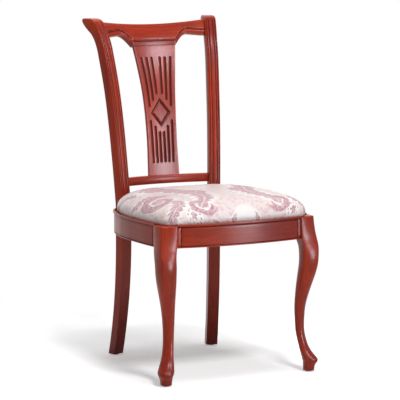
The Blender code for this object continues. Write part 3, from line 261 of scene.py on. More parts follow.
# where each run of sections starts, and how many it has
POST_RUNS = (
    (FRAME_TOP, 2),
    (REED_START, 6),
    (REED_START + REED_FADE, 40),
    (CHAIR_HEIGHT - EAR_HEIGHT, 36),
    (CHAIR_HEIGHT - EAR_ROUND, 0),
)
POST_LEG_SECTIONS = 27
EAR_ROUND_STEPS = 10
# the wood's tones; the dark one also lays painted shade in the cuts, and the light one a painted highlight on
# the arrises
STAIN_LIGHT = (0.35, 0.029, 0.0042, 1)
STAIN_MIDDLE = (0.17, 0.0078, 0.002, 1)
STAIN_DARK = (0.026, 0.002, 0.0014, 1)
COAT_ROUGHNESS = 0.2
COAT_IOR = 1.27
# the least angle between faces that is shaded as an edge
SHARP = math.radians(66)


def smooth_table(rows):
    """Reads rows of a place and its values along a curve that never overshoots them."""
    table = np.array(rows, float)
    steps = np.diff(table[:, 0])
    slopes = np.diff(table[:, 1:], axis=0) / steps[:, None]
    tangents = np.zeros_like(table[:, 1:])
    tangents[0] = slopes[0]
    tangents[-1] = slopes[-1]
    product = slopes[:-1] * slopes[1:]
    total = np.where(product > 0, slopes[:-1] + slopes[1:], 1)
    tangents[1:-1] = np.where(product > 0, 2 * product / total, 0)

    def at(place):
        row = int(np.clip(np.searchsorted(table[:, 0], place) - 1, 0, len(steps) - 1))
        share = float(np.clip((place - table[row, 0]) / steps[row], 0, 1))
        cube = share**3
        square = share**2
        return (
            (2 * cube - 3 * square + 1) * table[row, 1:]
            + (cube - 2 * square + share) * steps[row] * tangents[row]
            + (3 * square - 2 * cube) * table[row + 1, 1:]
            + (cube - square) * steps[row] * tangents[row + 1]
        )

    return at


def fade(value, start, end):
    """0 before start and 1 after end, with an eased run between, for a number or an array."""
    share = np.clip((value - start) / (end - start), 0, 1)
    return share * share * (3 - 2 * share)


def lofted(name, rings, shades=None, closed=False, sharp=SHARP):
    """A piece skinned over rings of points, with the stain's depth kept at each point, together with painted
    shade in the cuts and a painted highlight on the arrises.
    """
    rings = np.array(rings, float)
    count, around = rings.shape[:2]
    points = rings.reshape(-1, 3) + (0, CHAIR_SHIFT, 0)
    shades = np.zeros((count, around)) if shades is None else np.array(shades, float)
    shape = bmesh.new()
    layer = shape.verts.layers.float.new("stain_and_shade")
    verts = [shape.verts.new(point) for point in points]
    for vert, depth in zip(verts, shades.reshape(-1)):
        vert[layer] = depth
    for row in range(count if closed else count - 1):
        low = row * around
        high = (row + 1) % count * around
        for step in range(around):
            after = (step + 1) % around
            shape.faces.new([verts[index] for index in (low + step, low + after, high + after, high + step)])
    if not closed:
        shape.faces.new(verts[:around])
        shape.faces.new(verts[-around:])
    bmesh.ops.recalc_face_normals(shape, faces=shape.faces)
    mesh = bpy.data.meshes.new(name)
    shape.to_mesh(mesh)
    shape.free()
    mesh.shade_smooth()
    mesh.set_sharp_from_angle(angle=sharp)
    return linked(name, mesh)


def flipped(source, name):
    """The same piece for the chair's other side."""
    made = linked(name, source.data.copy())
    for vert in made.data.vertices:
        vert.co.x = -vert.co.x
    made.data.flip_normals()
    return made


def fit(piece, finish, slot, *nodes):
    """Gives a piece its finish and puts it in the place of CAD nodes."""
    painted(piece, finish)
    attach(piece, "root")
    if nodes:
        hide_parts(*nodes)
    return piece


def sockets(tree, inputs, outputs):
    """Names a group's inputs, with their plain values, and its outputs, and gives it both ends."""
    for name, kind, value in inputs:
        made = tree.interface.new_socket(name, in_out="INPUT", socket_type=kind)
        if value is not None:
            made.default_value = value
    for name in outputs:
        kind = "NodeSocketColor" if name == "Color" else "NodeSocketFloat"
        tree.interface.new_socket(name, in_out="OUTPUT", socket_type=kind)
    return put(tree, "NodeGroupInput").outputs, put(tree, "NodeGroupOutput")


def grain_group():
    """Mahogany under lacquer: long streaks, pores, slow changes of tone, and a stain that gathers, with
    painted shade in the cuts and a painted highlight on the arrises.
    """
    tree = bpy.data.node_groups.new("stained_grain", "ShaderNodeTree")
    inputs = (
        ("Vector", "NodeSocketVector", None),
        ("Light", "NodeSocketColor", STAIN_LIGHT),
        ("Middle", "NodeSocketColor", STAIN_MIDDLE),
        ("Dark", "NodeSocketColor", STAIN_DARK),
        ("Stain", "NodeSocketFloat", 0.0),
    )
    source, result = sockets(tree, inputs, ("Color", "Roughness", "Height", "Gloss"))

    def noise(scale, **inputs):
        scaled = put(tree, "ShaderNodeMapping", {"Vector": source["Vector"], "Scale": scale}).outputs[0]
        return put(tree, "ShaderNodeTexNoise", {"Vector": scaled, "Scale": 1.0, **inputs}).outputs[0]

    slow = noise((7, 7, 2.2), Detail=2.0, Roughness=0.5)
    streaks = noise((120, 120, 4.5), Detail=4.0, Roughness=0.6, Distortion=0.3)
    fine = noise((900, 900, 26), Detail=2.0)
    lines = ramp(streaks, 0.35, 0.7, -0.28, 0.28, "LINEAR")
    tone = sums("ADD", ramp(slow, 0.32, 0.68, kind="LINEAR"), lines, clamp=True)
    colour = overlaid(source["Middle"], source["Light"], tone)
    colour = overlaid(colour, source["Dark"], ramp(fine, 0.62, 0.74, 0.0, 0.45, "LINEAR"))
    # darker where the stain gathers in the cuts, with painted shade over it; below 0, lighter where the stain
    # was wiped off the arrises, with a painted highlight on them
    colour = overlaid(colour, source["Dark"], ramp(source["Stain"], 0.0, 1.0, 0.0, 0.85, "LINEAR"))
    colour = overlaid(colour, source["Light"], ramp(source["Stain"], 0.0, -1.0, 0.0, 0.55, "LINEAR"))
    rough = ramp(streaks, 0.0, 1.0, 0.3, 0.42, "LINEAR")
    gloss = ramp(source["Stain"], 0.1, 0.9, 0.5, 0.04, "LINEAR")
    feed(result, {"Color": colour, "Roughness": rough, "Height": streaks, "Gloss": gloss})
    return tree


stained_grain = grain_group()


def grained(tree, turn, **inputs):
    """What the grain group puts out, with its grain run up the chair or along a turned axis."""
    place = put(tree, "ShaderNodeTexCoord").outputs["Object"]
    turned = put(tree, "ShaderNodeMapping", {"Vector": place, "Rotation": turn}).outputs[0]
    return put(tree, "ShaderNodeGroup", {"Vector": turned, **inputs}, node_tree=stained_grain).outputs


def bump(height, strength, distance):
    inputs = {"Height": height, "Strength": strength, "Distance": distance}
    return put(height.id_data, "ShaderNodeBump", inputs).outputs[0]


def lacquered(name, turn=(0, 0, 0), coat_ior=COAT_IOR):
    """Gloss lacquer over stained wood, with painted shade darkening the cuts and a painted highlight on the
    arrises, and less gloss where the stain lies in a cut.
    """
    made, tree, shader = material(name)
    stain_and_shade = put(tree, "ShaderNodeAttribute", attribute_name="stain_and_shade").outputs["Fac"]
    grain = grained(tree, turn, Stain=stain_and_shade)
    finish = {
        "Base Color": grain["Color"],
        "Roughness": grain["Roughness"],
        "Normal": bump(grain["Height"], 0.05, 0.0004),
        "Coat Weight": grain["Gloss"],
        "Coat Roughness": COAT_ROUGHNESS,
        "Coat IOR": coat_ior,
        "Specular IOR Level": 0.1,
    }
    feed(shader, finish)
    return made


OUTWARD = np.array((math.cos(POST_TOE), -math.sin(POST_TOE)))
REARWARD = np.array((math.sin(POST_TOE), math.cos(POST_TOE)))
back_curve = smooth_table(BACK_CURVE)
ear_swell = smooth_table(EAR_SWELL)


def post_front(height):
    """The middle of the right post's front face, in plan."""
    if height < POST_WAIST:
        droop = ((POST_WAIST - height) / POST_WAIST) ** 2
        return np.array(POST_PLACE) + (LEG_SPREAD * droop, LEG_RAKE * droop)
    share = max(0, height - POST_SPRING) / (CHAIR_HEIGHT - POST_SPRING)
    sweep, spread = back_curve(share)
    return np.array(POST_PLACE) + (BACK_SPREAD * spread, BACK_SWEEP * sweep)


def post_inner(height):
    """The inner edge of the right post's front face, in plan."""
    return post_front(height) - OUTWARD * POST_WIDTH / 2


def post_depth(height):
    """The post's depth, front to rear, which grows into the ear."""
    foot, seat, back = POST_DEPTHS
    if height < FRAME_TOP:
        return foot + (seat - foot) * fade(height, 0, POST_WAIST)
    depth = seat + (back - seat) * fade(height, FRAME_TOP, CREST_LOW)
    return depth + (EAR_DEPTH - back) * ear_swell((height - CHAIR_HEIGHT + EAR_HEIGHT) / EAR_HEIGHT)[0]


def post_ring(height, front_inset=0.0, rear_inset=0.0, side_inset=0.0):
    """One section of the right post and its stain with painted shade and highlight, with the moulding at its
    depth there.
    """
    reeding = fade(height, REED_START, REED_START + REED_FADE)
    reeding *= 1 - fade(height, REED_END - REED_END_FADE, REED_END)
    half = POST_WIDTH / 2 - side_inset
    depth = post_depth(height) - front_inset - rear_inset
    front = post_front(height) + REARWARD * front_inset
    plan = []
    stains_and_shades = []
    for side, rows in ((-1, REED_PROFILE[:0:-1]), (1, REED_PROFILE)):
        for across, sunk, stain_and_shade in rows:
            plan.append(front + OUTWARD * half * side * across + REARWARD * REED_DEPTH * sunk * reeding)
            stains_and_shades.append(stain_and_shade * reeding)
    quarter = [math.radians(90 * turn) for turn in CORNER_TURNS]
    for side, turns in ((1, quarter), (-1, quarter[::-1])):
        for turn in turns:
            across = side * (half - POST_EDGE * (1 - math.cos(turn)))
            plan.append(front + OUTWARD * across + REARWARD * (depth - POST_EDGE * (1 - math.sin(turn))))
            stains_and_shades.append(CORNER_STAIN_AND_HIGHLIGHT)
    return [(*point, height) for point in plan], stains_and_shades


levels = list(np.linspace(FOOT_LOW, RAIL_BOTTOM, POST_LEG_SECTIONS))
for (low, count), (high, _) in zip(POST_RUNS, POST_RUNS[1:]):
    levels += list(np.linspace(low, high, count, endpoint=False))
rings = [post_ring(height) for height in levels]
for step in range(EAR_ROUND_STEPS + 1):
    angle = math.radians(90 * step / EAR_ROUND_STEPS)
    fallen = 1 - math.cos(angle)
    height = CHAIR_HEIGHT - EAR_ROUND + EAR_ROUND * math.sin(angle)
    insets = [size * fallen for size in (EAR_FRONT_ROUND, EAR_REAR_ROUND, EAR_SIDE_ROUND)]
    rings.append(post_ring(height, *insets))
post = lofted("post_right_shaped", *zip(*rings))
upright_wood = lacquered("lacquered_upright")
other = flipped(post, "post_left_shaped")
fit(post, upright_wood, "lacquered_wood", "post_right")
fit(other, upright_wood, "lacquered_wood", "post_left")


# The crest rail: a curved board tenoned between the stiles, hollow along its top, its lower edge
# cut in two scallops, with a sloping band and a fine double moulding that follow the edge.
BACK_ARC_RADIUS = 0.5460
BACK_RAIL_SET = 0.0155
CREST_MIDDLE_TOP = 0.9765
CREST_END_TOP = 0.9880
CREST_THICK = 0.0240
CREST_FORWARD = 0.0020
CREST_SLANT = 0.30
CREST_ROUND = 0.0050
CREST_FLAT_HALF = 0.0740
SCALLOP_RISE = 0.0335
SCALLOP_RUN = 0.0430
SCALLOP_DROP = 0.0040
CREST_BAND = 0.0120
CREST_BAND_SLOPE = 0.0040
CREST_EDGE = 0.0015
CREST_STEPS = 36
SCALLOP_STEPS = 16
# lighter on the arrises: stain wiped off, with a painted highlight on them
ARRIS_STAIN_AND_HIGHLIGHT = -0.4
# Height above the band's top and depth below the face, in metres, and the stain that gathers there, with
# painted shade in the grooves; below 0 it is lighter, with a painted highlight on the bead
CREST_MOULDING = (
    (-0.0014, 0.0004, 0.0),
    (-0.0011, 0.0006, 0.5),
    (-0.0008, 0.0015, 1.0),
    (0.0005, 0.0016, 1.0),
    (0.0009, 0.0005, 0.5),
    (0.0015, 0.0000, -0.2),
    (0.0022, 0.0000, -0.2),
    (0.0027, 0.0004, 0.5),
    (0.0030, 0.0012, 1.0),
    (0.0041, 0.0012, 1.0),
    (0.0046, 0.0003, 0.4),
    (0.0055, 0.0000, 0.0),
)


def back_centre(height):
    """Where the back's arc is centred, on the chair's middle plane."""
    end = post_inner(height) + REARWARD * BACK_RAIL_SET
    return end[1] - math.sqrt(BACK_ARC_RADIUS**2 - end[0] ** 2)


def back_end(height, depth):
    """The angle at which a rail's layer at this depth meets the right post's inner face."""
    reach = post_inner(height) @ OUTWARD - GAP + back_centre(height) * math.sin(POST_TOE)
    return POST_TOE + math.asin(reach / (BACK_ARC_RADIUS + depth))


def back_point(angle, depth, height):
    """A point of the back at an angle from the middle and a depth behind the arc's face."""
    radius = BACK_ARC_RADIUS + depth
    return (radius * math.sin(angle), back_centre(height) + radius * math.cos(angle), height)


CREST_HALF = BACK_ARC_RADIUS * math.sin(back_end(CREST_END_TOP - CREST_ROUND, 0))


def mix(first, second, share):
    return np.array(first) * (1 - share) + np.array(second) * share


def straight(start, end, steps):
    """The points between two points of a section, evenly spaced and bare of stain."""
    return [(*mix(start, end, step / steps), 0) for step in range(1, steps)]


def rounded(depth, height, radius, heading, steps=4):
    """A quarter turn back to a heading, round an arris whose centre is given, painted lighter there as a
    highlight.
    """
    section = []
    for step in range(steps, -1, -1):
        turn = math.radians(heading + 90 * step / steps)
        section.append((depth + radius * math.cos(turn), height + radius * math.sin(turn), ARRIS_STAIN_AND_HIGHLIGHT))
    return section


def crest_ring(share):
    """One section of the crest rail, at a share of its half length, and its stain with painted shade and
    highlight.
    """
    across = abs(share) * CREST_HALF
    climb = np.clip((across - CREST_FLAT_HALF) / SCALLOP_RUN, 0, 1)
    past = max(0, across - CREST_FLAT_HALF - SCALLOP_RUN) / SCALLOP_RUN
    low = CREST_LOW + SCALLOP_RISE * math.sin(math.pi / 2 * climb) - SCALLOP_DROP * min(1, past)
    band = low + CREST_BAND
    field = band + CREST_MOULDING[-1][0]
    round_low = CREST_MIDDLE_TOP + (CREST_END_TOP - CREST_MIDDLE_TOP) * share**2 - CREST_ROUND
    section = rounded(CREST_BAND_SLOPE + CREST_EDGE, low + CREST_EDGE, CREST_EDGE, 180)
    section += straight((CREST_BAND_SLOPE, low + CREST_EDGE), (0, band - CREST_EDGE), 4)
    section += [(depth, band + height, stain_and_shade) for height, depth, stain_and_shade in CREST_MOULDING]
    section += straight((0, field), (0, round_low), 6)
    section += rounded(CREST_ROUND, round_low, CREST_ROUND, 90, 5)
    section += rounded(CREST_THICK - CREST_ROUND, round_low, CREST_ROUND, 0, 5)
    section += straight((CREST_THICK, round_low), (CREST_THICK, low), 6)
    section += rounded(CREST_THICK - CREST_EDGE, low + CREST_EDGE, CREST_EDGE, 270)
    ring = []
    for depth, height, stain_and_shade in section:
        height -= CREST_SLANT * depth
        depth -= CREST_FORWARD
        ring.append(back_point(share * back_end(height, depth), depth, height))
    return ring, [row[2] for row in section]


places = {step / CREST_STEPS for step in range(CREST_STEPS + 1)}
scallop = [CREST_FLAT_HALF + SCALLOP_RUN * step / SCALLOP_STEPS for step in range(SCALLOP_STEPS + 1)]
places = sorted(places | {across / CREST_HALF for across in scallop})
rings = [crest_ring(share) for share in [-share for share in places[:0:-1]] + places]
crest = lofted("crest_rail_shaped", *zip(*rings))
cross_wood = lacquered("lacquered_cross", turn=(0, math.pi / 2, 0))
fit(crest, cross_wood, "lacquered_wood", "crest_rail")


# The lower back rail: a curved bar tenoned between the stiles over the seat, softly rounded in
# front. The splat stands on it.
LOWER_RAIL_LOW = 0.5055
LOWER_RAIL_HIGH = 0.5304
LOWER_RAIL_THICK = 0.0170
LOWER_RAIL_ROUND = 0.0030
LOWER_RAIL_CROWN = 0.0010
LOWER_RAIL_STEPS = 60
CROWN_STEPS = 8

edge = LOWER_RAIL_ROUND
section = rounded(edge, LOWER_RAIL_LOW + edge, edge, 180)
for depth, height, stain_and_shade in straight((-1, LOWER_RAIL_LOW + edge), (1, LOWER_RAIL_HIGH - edge), CROWN_STEPS):
    section.append((LOWER_RAIL_CROWN * (depth**2 - 1), height, stain_and_shade))
section += rounded(edge, LOWER_RAIL_HIGH - edge, edge, 90)
section += rounded(LOWER_RAIL_THICK - edge, LOWER_RAIL_HIGH - edge, edge, 0)
section += rounded(LOWER_RAIL_THICK - edge, LOWER_RAIL_LOW + edge, edge, 270)
rings = []
for share in np.linspace(-1, 1, LOWER_RAIL_STEPS + 1):
    rings.append([back_point(share * back_end(height, depth), depth, height) for depth, height, _ in section])
lower_rail = lofted("lower_back_rail_shaped", rings, [[row[2] for row in section]] * len(rings))
fit(lower_rail, cross_wood, "lacquered_wood", "lower_back_rail")


# The splat: one board bent to the back's curve and shaped like a slim vase, its edges eased, with
# twelve flutes routed in its face in two fans and a diamond cut in with a V tool between them.
# The stain was wiped off the arrises and left in the cuts; a painted highlight lightens the arrises and
# painted shade darkens the cuts.
SPLAT_TOP_WIDTH = 0.1365
SPLAT_SET = 0.0040
SPLAT_THICK = 0.0100
SPLAT_EDGE = 0.0016
SPLAT_LOW = LOWER_RAIL_HIGH + GAP
SPLAT_HIGH = CREST_LOW - GAP
SPLAT_SHARP = math.radians(16)
SPLAT_ARRIS_STEPS = 8
SPLAT_STEPS = 64
SPLAT_COLUMNS = 28
# height up the splat and its width, as parts of its height and of its width at the top
SPLAT_WIDTHS = (
    (0.0, 0.725),
    (0.1, 0.712),
    (0.25, 0.696),
    (0.43, 0.711),
    (0.62, 0.762),
    (0.71, 0.806),
    (0.8, 0.864),
    (0.9, 0.932),
    (1.0, 1.01),
)
FLUTE_RADIUS = 0.0036
FLUTE_LIP = 0.0005
FLUTE_FLANK = 72
FLUTE_STEPS = 16
FLUTE_END_TURNS = (8, 20, 32, 44, 56, 68, 80, 90)
SPLAT_COAT_IOR = 1.36
# The depths of a cut's lip and of its full stain and painted shade, and the stain with painted shade at the
# lip, below it and at most
LIP_DEPTH = 0.00016
STAINED_AND_SHADED_DEPTH = 0.0020
LIP_STAIN_AND_SHADE = 0.1
CUT_STAIN_AND_SHADE = 0.45
DEEPEST_STAIN_AND_SHADE = 0.9
# from height and place across, to height and place across, as parts of height and half width
FLUTES = (
    (0.620, 0.173, 0.912, 0.214),
    (0.572, 0.429, 0.912, 0.469),
    (0.525, 0.693, 0.912, 0.734),
    (0.092, 0.133, 0.339, 0.146),
    (0.092, 0.400, 0.385, 0.417),
    (0.092, 0.666, 0.429, 0.711),
)
DIAMOND_MIDDLE = 0.481
DIAMOND_HALF_HEIGHT = 0.0355
DIAMOND_HALF_WIDTH = 0.0270
DIAMOND_SIDE_STEPS = 5
# across the V cut's line, and the depth there
DIAMOND_CUT = (
    (-0.0058, -0.0008),
    (-0.0053, -0.00008),
    (-0.0049, 0.00010),
    (-0.0043, 0.0005),
    (-0.0012, 0.0022),
    (0.0, 0.0025),
    (0.0012, 0.0022),
    (0.0043, 0.0005),
    (0.0049, 0.00010),
    (0.0053, -0.00008),
    (0.0058, -0.0008),
)
splat_width = smooth_table(SPLAT_WIDTHS)


def splat_half(share):
    """Half the splat's width at a share of its height."""
    return SPLAT_TOP_WIDTH / 2 * splat_width(share)[0]


def splat_ring(share):
    """A section of the splat at a height, tipped to the crest rail's slant towards its top."""
    height = SPLAT_LOW + (SPLAT_HIGH - SPLAT_LOW) * share
    slant = CREST_SLANT * fade(height, (SPLAT_LOW + SPLAT_HIGH) / 2, SPLAT_HIGH)
    half = splat_half(share)
    columns = range(1, SPLAT_COLUMNS)
    flat = [(2 * column / SPLAT_COLUMNS - 1) * (half - SPLAT_EDGE) for column in columns]
    arris = [math.radians(90 * step / SPLAT_ARRIS_STEPS) for step in range(SPLAT_ARRIS_STEPS + 1)]
    front = [(half - SPLAT_EDGE * (1 - math.sin(turn)), SPLAT_EDGE * (1 - math.cos(turn))) for turn in arris]
    back = [(across, SPLAT_THICK - depth) for across, depth in reversed(front)]
    section = [(across, 0) for across in flat] + front + back + [(-across, SPLAT_THICK) for across in flat]
    section += [(-across, depth) for across, depth in back[::-1] + front[::-1]]
    ring = []
    for across, depth in section:
        depth += SPLAT_SET
        angle = math.asin(across / BACK_ARC_RADIUS)
        ring.append(back_point(angle, depth, height - slant * (depth + CREST_FORWARD)))
    return ring


def on_splat(height_share, across, depth=0.0):
    """A point on the splat's face, or below it, at a height and a distance from the middle."""
    height = SPLAT_LOW + (SPLAT_HIGH - SPLAT_LOW) * height_share
    return Vector(back_point(math.asin(across / BACK_ARC_RADIUS), SPLAT_SET + depth, height))


def flute_section():
    """The cutter's profile, sideways and down: a cove between two eased lips, closed above."""
    reach = FLUTE_RADIUS + FLUTE_LIP
    flank = math.radians(FLUTE_FLANK)
    lip_middle = reach * math.sin(flank)
    cove_middle = FLUTE_LIP - reach * math.cos(flank)
    side = []
    for turn in range(0, FLUTE_FLANK, 9):
        angle = math.radians(turn)
        side.append((FLUTE_RADIUS * math.sin(angle), cove_middle + FLUTE_RADIUS * math.cos(angle)))
    for turn in range(FLUTE_FLANK, 9, -9):
        angle = math.radians(turn)
        side.append((lip_middle - FLUTE_LIP * math.sin(angle), FLUTE_LIP * (1 - math.cos(angle))))
    side += [(lip_middle + FLUTE_LIP, -0.3 * FLUTE_LIP), (lip_middle + FLUTE_LIP, -2 * FLUTE_LIP)]
    return [(-across, depth) for across, depth in reversed(side[1:])] + side


def flute_cutter(low, low_across, high, high_across, side):
    """A cutter for one flute, left or right, that sinks into the board at its round ends."""
    length = (high - low) * (SPLAT_HIGH - SPLAT_LOW)
    round_end = [math.radians(turn) for turn in FLUTE_END_TURNS]
    stops = [(FLUTE_RADIUS * (1 - math.cos(turn)) / length, math.sin(turn)) for turn in round_end]
    first = stops[-1][0]
    middle = [(first + (1 - 2 * first) * step / FLUTE_STEPS, 1) for step in range(1, FLUTE_STEPS)]
    rings = []
    for stop, size in stops + middle + [(1 - stop, size) for stop, size in reversed(stops)]:
        height = low + (high - low) * stop
        across = side * (low_across + (high_across - low_across) * stop) * splat_half(height)
        face = on_splat(height, across)
        inward = (on_splat(height, across, FLUTE_RADIUS) - face).normalized()
        sideways = inward.cross(Vector((0, 0, 1))).normalized()
        rings.append([face + (sideways * u + inward * d) * size for u, d in flute_section()])
    return lofted("flute_cutter", rings)


def diamond_cutter():
    """A cutter for the V cut round the diamond, carried along its four sides."""
    reach = DIAMOND_HALF_HEIGHT * DIAMOND_HALF_WIDTH / math.hypot(DIAMOND_HALF_HEIGHT, DIAMOND_HALF_WIDTH)
    corners = [(0, 1), (1, 0), (0, -1), (-1, 0)]
    rings = []
    for index, corner in enumerate(corners):
        for step in range(DIAMOND_SIDE_STEPS):
            x, z = mix(corner, corners[(index + 1) % 4], step / DIAMOND_SIDE_STEPS)
            ring = []
            for out, depth in DIAMOND_CUT:
                size = 1 + out / reach
                high = DIAMOND_MIDDLE + z * size * DIAMOND_HALF_HEIGHT / (SPLAT_HIGH - SPLAT_LOW)
                ring.append(on_splat(high, x * size * DIAMOND_HALF_WIDTH, depth))
            rings.append(ring)
    return lofted("diamond_cutter", rings, closed=True)


def carved(piece, cutters):
    """Cuts all the cutters from the piece, and leaves it one plain mesh."""
    for cutter in cutters:
        cut = piece.modifiers.new(cutter.name, "BOOLEAN")
        cut.operation = "DIFFERENCE"
        cut.solver = "EXACT"
        cut.object = cutter
    graph = bpy.context.evaluated_depsgraph_get()
    mesh = bpy.data.meshes.new_from_object(piece.evaluated_get(graph))
    piece.modifiers.clear()
    piece.data = mesh
    for cutter in cutters:
        bpy.data.objects.remove(cutter, do_unlink=True)


splat = lofted("splat_shaped", [splat_ring(step / SPLAT_STEPS) for step in range(SPLAT_STEPS + 1)])
cutters = [diamond_cutter()]
cutters += [flute_cutter(*places, side) for places in FLUTES for side in (-1, 1)]
carved(splat, cutters)
splat.data.set_sharp_from_angle(angle=SPLAT_SHARP)
# each point's stain and painted light: a painted highlight on the eased edges, painted shade growing with the
# depth of the cuts
stains_and_shades = splat.data.attributes["stain_and_shade"].data
for vert in splat.data.vertices:
    x, y, z = vert.co
    depth = math.hypot(x, y - CHAIR_SHIFT - back_centre(z)) - BACK_ARC_RADIUS - SPLAT_SET
    half = splat_half((z - SPLAT_LOW) / (SPLAT_HIGH - SPLAT_LOW))
    if abs(x) > half - SPLAT_EDGE * 0.8:
        stains_and_shades[vert.index].value = ARRIS_STAIN_AND_HIGHLIGHT
    elif LIP_DEPTH < depth < SPLAT_THICK / 2:
        stains_and_shades[vert.index].value = min(DEEPEST_STAIN_AND_SHADE, CUT_STAIN_AND_SHADE + depth / STAINED_AND_SHADED_DEPTH * 0.5)
    elif LIP_DEPTH / 4 < depth <= LIP_DEPTH:
        stains_and_shades[vert.index].value = LIP_STAIN_AND_SHADE
fit(splat, lacquered("lacquered_splat", coat_ior=SPLAT_COAT_IOR), "lacquered_wood", "splat")


# The front legs: cabriole legs bandsawn from square stock and carved round, with a square block
# at the rails, a full knee, a thin ankle, and a pointed pad foot on a small tapered block.
LEG_PLACE = (0.2211, -0.2269)
BLOCK_TURN = math.radians(47.5)
LEG_TURN = math.radians(40)
BLOCK_HALF_DEPTH = 0.0279
BLOCK_HALF_WIDTH = 0.0352
BLOCK_FLARE = 0.0100
LEG_SLIP = 0.0043
LEG_SWING = 0.0338
BLOCK_SWING = 0.0122
LEG_HALF = 0.0300
LEG_SIDES = 72
LEG_LEVELS = 120
LEG_SMOOTHING = 16
BLOCK_ROUNDNESS = 1.17
BLOCK_EASED = 0.965
LEG_SHARP = math.radians(150)
KNEE_LOW = 0.85
# the heights between which the foot's crisp edges give way to smoothed ones
FOOT_BLENDS = (0.035, 0.070)
# height, swing, reach to the front, reach to the rear and half width, as parts of the leg's own
# height, swing and half width, and roundness, where 1 is square and 2 is round
CABRIOLE = (
    (0.0, 0.858, 0.543, 0.543, 0.543, 1.7),
    (0.042, 0.902, 0.620, 0.620, 0.613, 1.6),
    (0.068, 1.0, 0.743, 0.743, 0.713, 1.6),
    (0.081, 0.991, 0.790, 0.790, 0.780, 1.55),
    (0.093, 0.947, 0.767, 0.767, 0.800, 1.6),
    (0.119, 0.751, 0.650, 0.650, 0.760, 1.6),
    (0.144, 0.577, 0.510, 0.510, 0.697, 1.8),
    (0.170, 0.444, 0.457, 0.457, 0.623, 1.9),
    (0.221, 0.246, 0.417, 0.417, 0.547, 1.95),
    (0.323, 0.027, 0.420, 0.420, 0.520, 2.0),
    (0.45, 0.018, 0.500, 0.500, 0.580, 2.0),
    (0.53, 0.121, 0.583, 0.583, 0.650, 1.9),
    (0.60, 0.275, 0.693, 0.693, 0.733, 1.8),
    (0.68, 0.485, 0.820, 0.820, 0.853, 1.7),
    (0.756, 0.692, 0.933, 0.933, 0.973, 1.52),
    (0.833, 0.831, 0.985, 0.977, 1.033, 1.4),
    (0.909, 0.802, 1.040, 0.985, 1.060, 1.25),
    (0.961, 0.620, 1.150, 0.900, 1.130, 1.1),
    (
        1.0,
        BLOCK_SWING / LEG_SWING,
        (BLOCK_HALF_DEPTH + BLOCK_FLARE) / LEG_HALF,
        BLOCK_HALF_DEPTH / LEG_HALF,
        BLOCK_HALF_WIDTH / LEG_HALF,
        1.0,
    ),
)


def unit(vector):
    return np.array(vector) / np.linalg.norm(vector)


def leg_axes(turn):
    """Unit vectors towards the toe and across it, for the right leg."""
    return np.array((math.sin(turn), -math.cos(turn))), np.array((-math.cos(turn), -math.sin(turn)))


BLOCK_OUT, BLOCK_ACROSS = leg_axes(BLOCK_TURN)
LEG_OUT, LEG_ACROSS = leg_axes(LEG_TURN)
LEG_BLOCK = np.array(LEG_PLACE)
cabriole = smooth_table(CABRIOLE)


def leg_ring(middle, out, across, front, rear, half_width, roundness, height, rear_roundness):
    """One section of a leg: a rounded square whose front and rear halves have their own reach."""
    ring = []
    for step in range(LEG_SIDES):
        angle = 2 * math.pi * (step + 0.5) / LEG_SIDES
        c, s = math.cos(angle), math.sin(angle)
        power = 2 / (roundness if c > 0 else rear_roundness)
        forward = math.copysign(abs(c) ** power, c) * (front if c > 0 else rear)
        sideways = math.copysign(abs(s) ** power, s) * half_width
        ring.append((*(middle + out * forward + across * sideways), height))
    return ring


def leg_sizes(height):
    """The leg's sizes at a height: from the table below the rails, and the block's beside them."""
    share = (height - FOOT_LOW) / (RAIL_BOTTOM - FOOT_LOW)
    if share <= 1:
        return cabriole(share)
    flare = BLOCK_FLARE * (1 - (height - RAIL_BOTTOM) / (FRAME_TOP - RAIL_BOTTOM)) ** 1.5
    swing, front, rear, half, roundness = cabriole(1)
    return swing, (BLOCK_HALF_DEPTH + flare) / LEG_HALF, rear, half, roundness


rings = []
heights = np.linspace(FOOT_LOW, FRAME_TOP, LEG_LEVELS)
sizes = np.array([leg_sizes(height) for height in heights])
above_foot = fade(heights[1:-1], *FOOT_BLENDS)[:, None]
for _ in range(LEG_SMOOTHING):
    sizes[1:-1] += ((sizes[2:] + sizes[:-2]) / 2 - sizes[1:-1]) * 0.5 * above_foot
for height, (swing, front, rear, half, roundness) in zip(heights, sizes):
    to_block = fade((height - FOOT_LOW) / (RAIL_BOTTOM - FOOT_LOW), KNEE_LOW, 1)
    out = unit(mix(LEG_OUT, BLOCK_OUT, to_block))
    middle = LEG_BLOCK + LEG_OUT * (swing * LEG_SWING - BLOCK_SWING) + LEG_ACROSS * LEG_SLIP * (1 - to_block)
    reach = (front * LEG_HALF * (1 + (BLOCK_EASED - 1) * to_block), rear * LEG_HALF, half * LEG_HALF)
    fore = max(roundness, BLOCK_ROUNDNESS)
    rings.append(leg_ring(middle, out, np.array((out[1], -out[0])), *reach, fore, height, roundness))
leg = lofted("front_leg_right_shaped", rings, sharp=LEG_SHARP)
other = flipped(leg, "front_leg_left_shaped")
fit(leg, upright_wood, "lacquered_wood", "front_leg_right")
fit(other, upright_wood, "lacquered_wood", "front_leg_left")


# The seat rails: bowed front and sides, tenoned into the leg blocks and the posts, with a bead
# along the bottom, a lip that stands proud round the seat, and an incised upright line at each end.
RAIL_THICK = 0.0240
BLOCK_PROUD = 0.0035
FRONT_ARC_RADIUS = 0.8900
LIP_PROUD = 0.0030
LIP_RISE = 0.0030
LIP_HEIGHT = 0.0065
LIP_ROUND = 0.0012
LIP_BACK = 0.0030
RAIL_GROOVE = 0.0015
RAIL_BEAD = 0.0040
PANEL_LINE_HALF = 0.0008
PANEL_LINE_DEPTH = 0.0012
PANEL_LINE_FROM_END = 0.0120
SIDE_END_INSET = 0.0010
SIDE_END_THICK = 0.0270
FRONT_RAIL_STEPS = 48
SIDE_RAIL_STEPS = 60
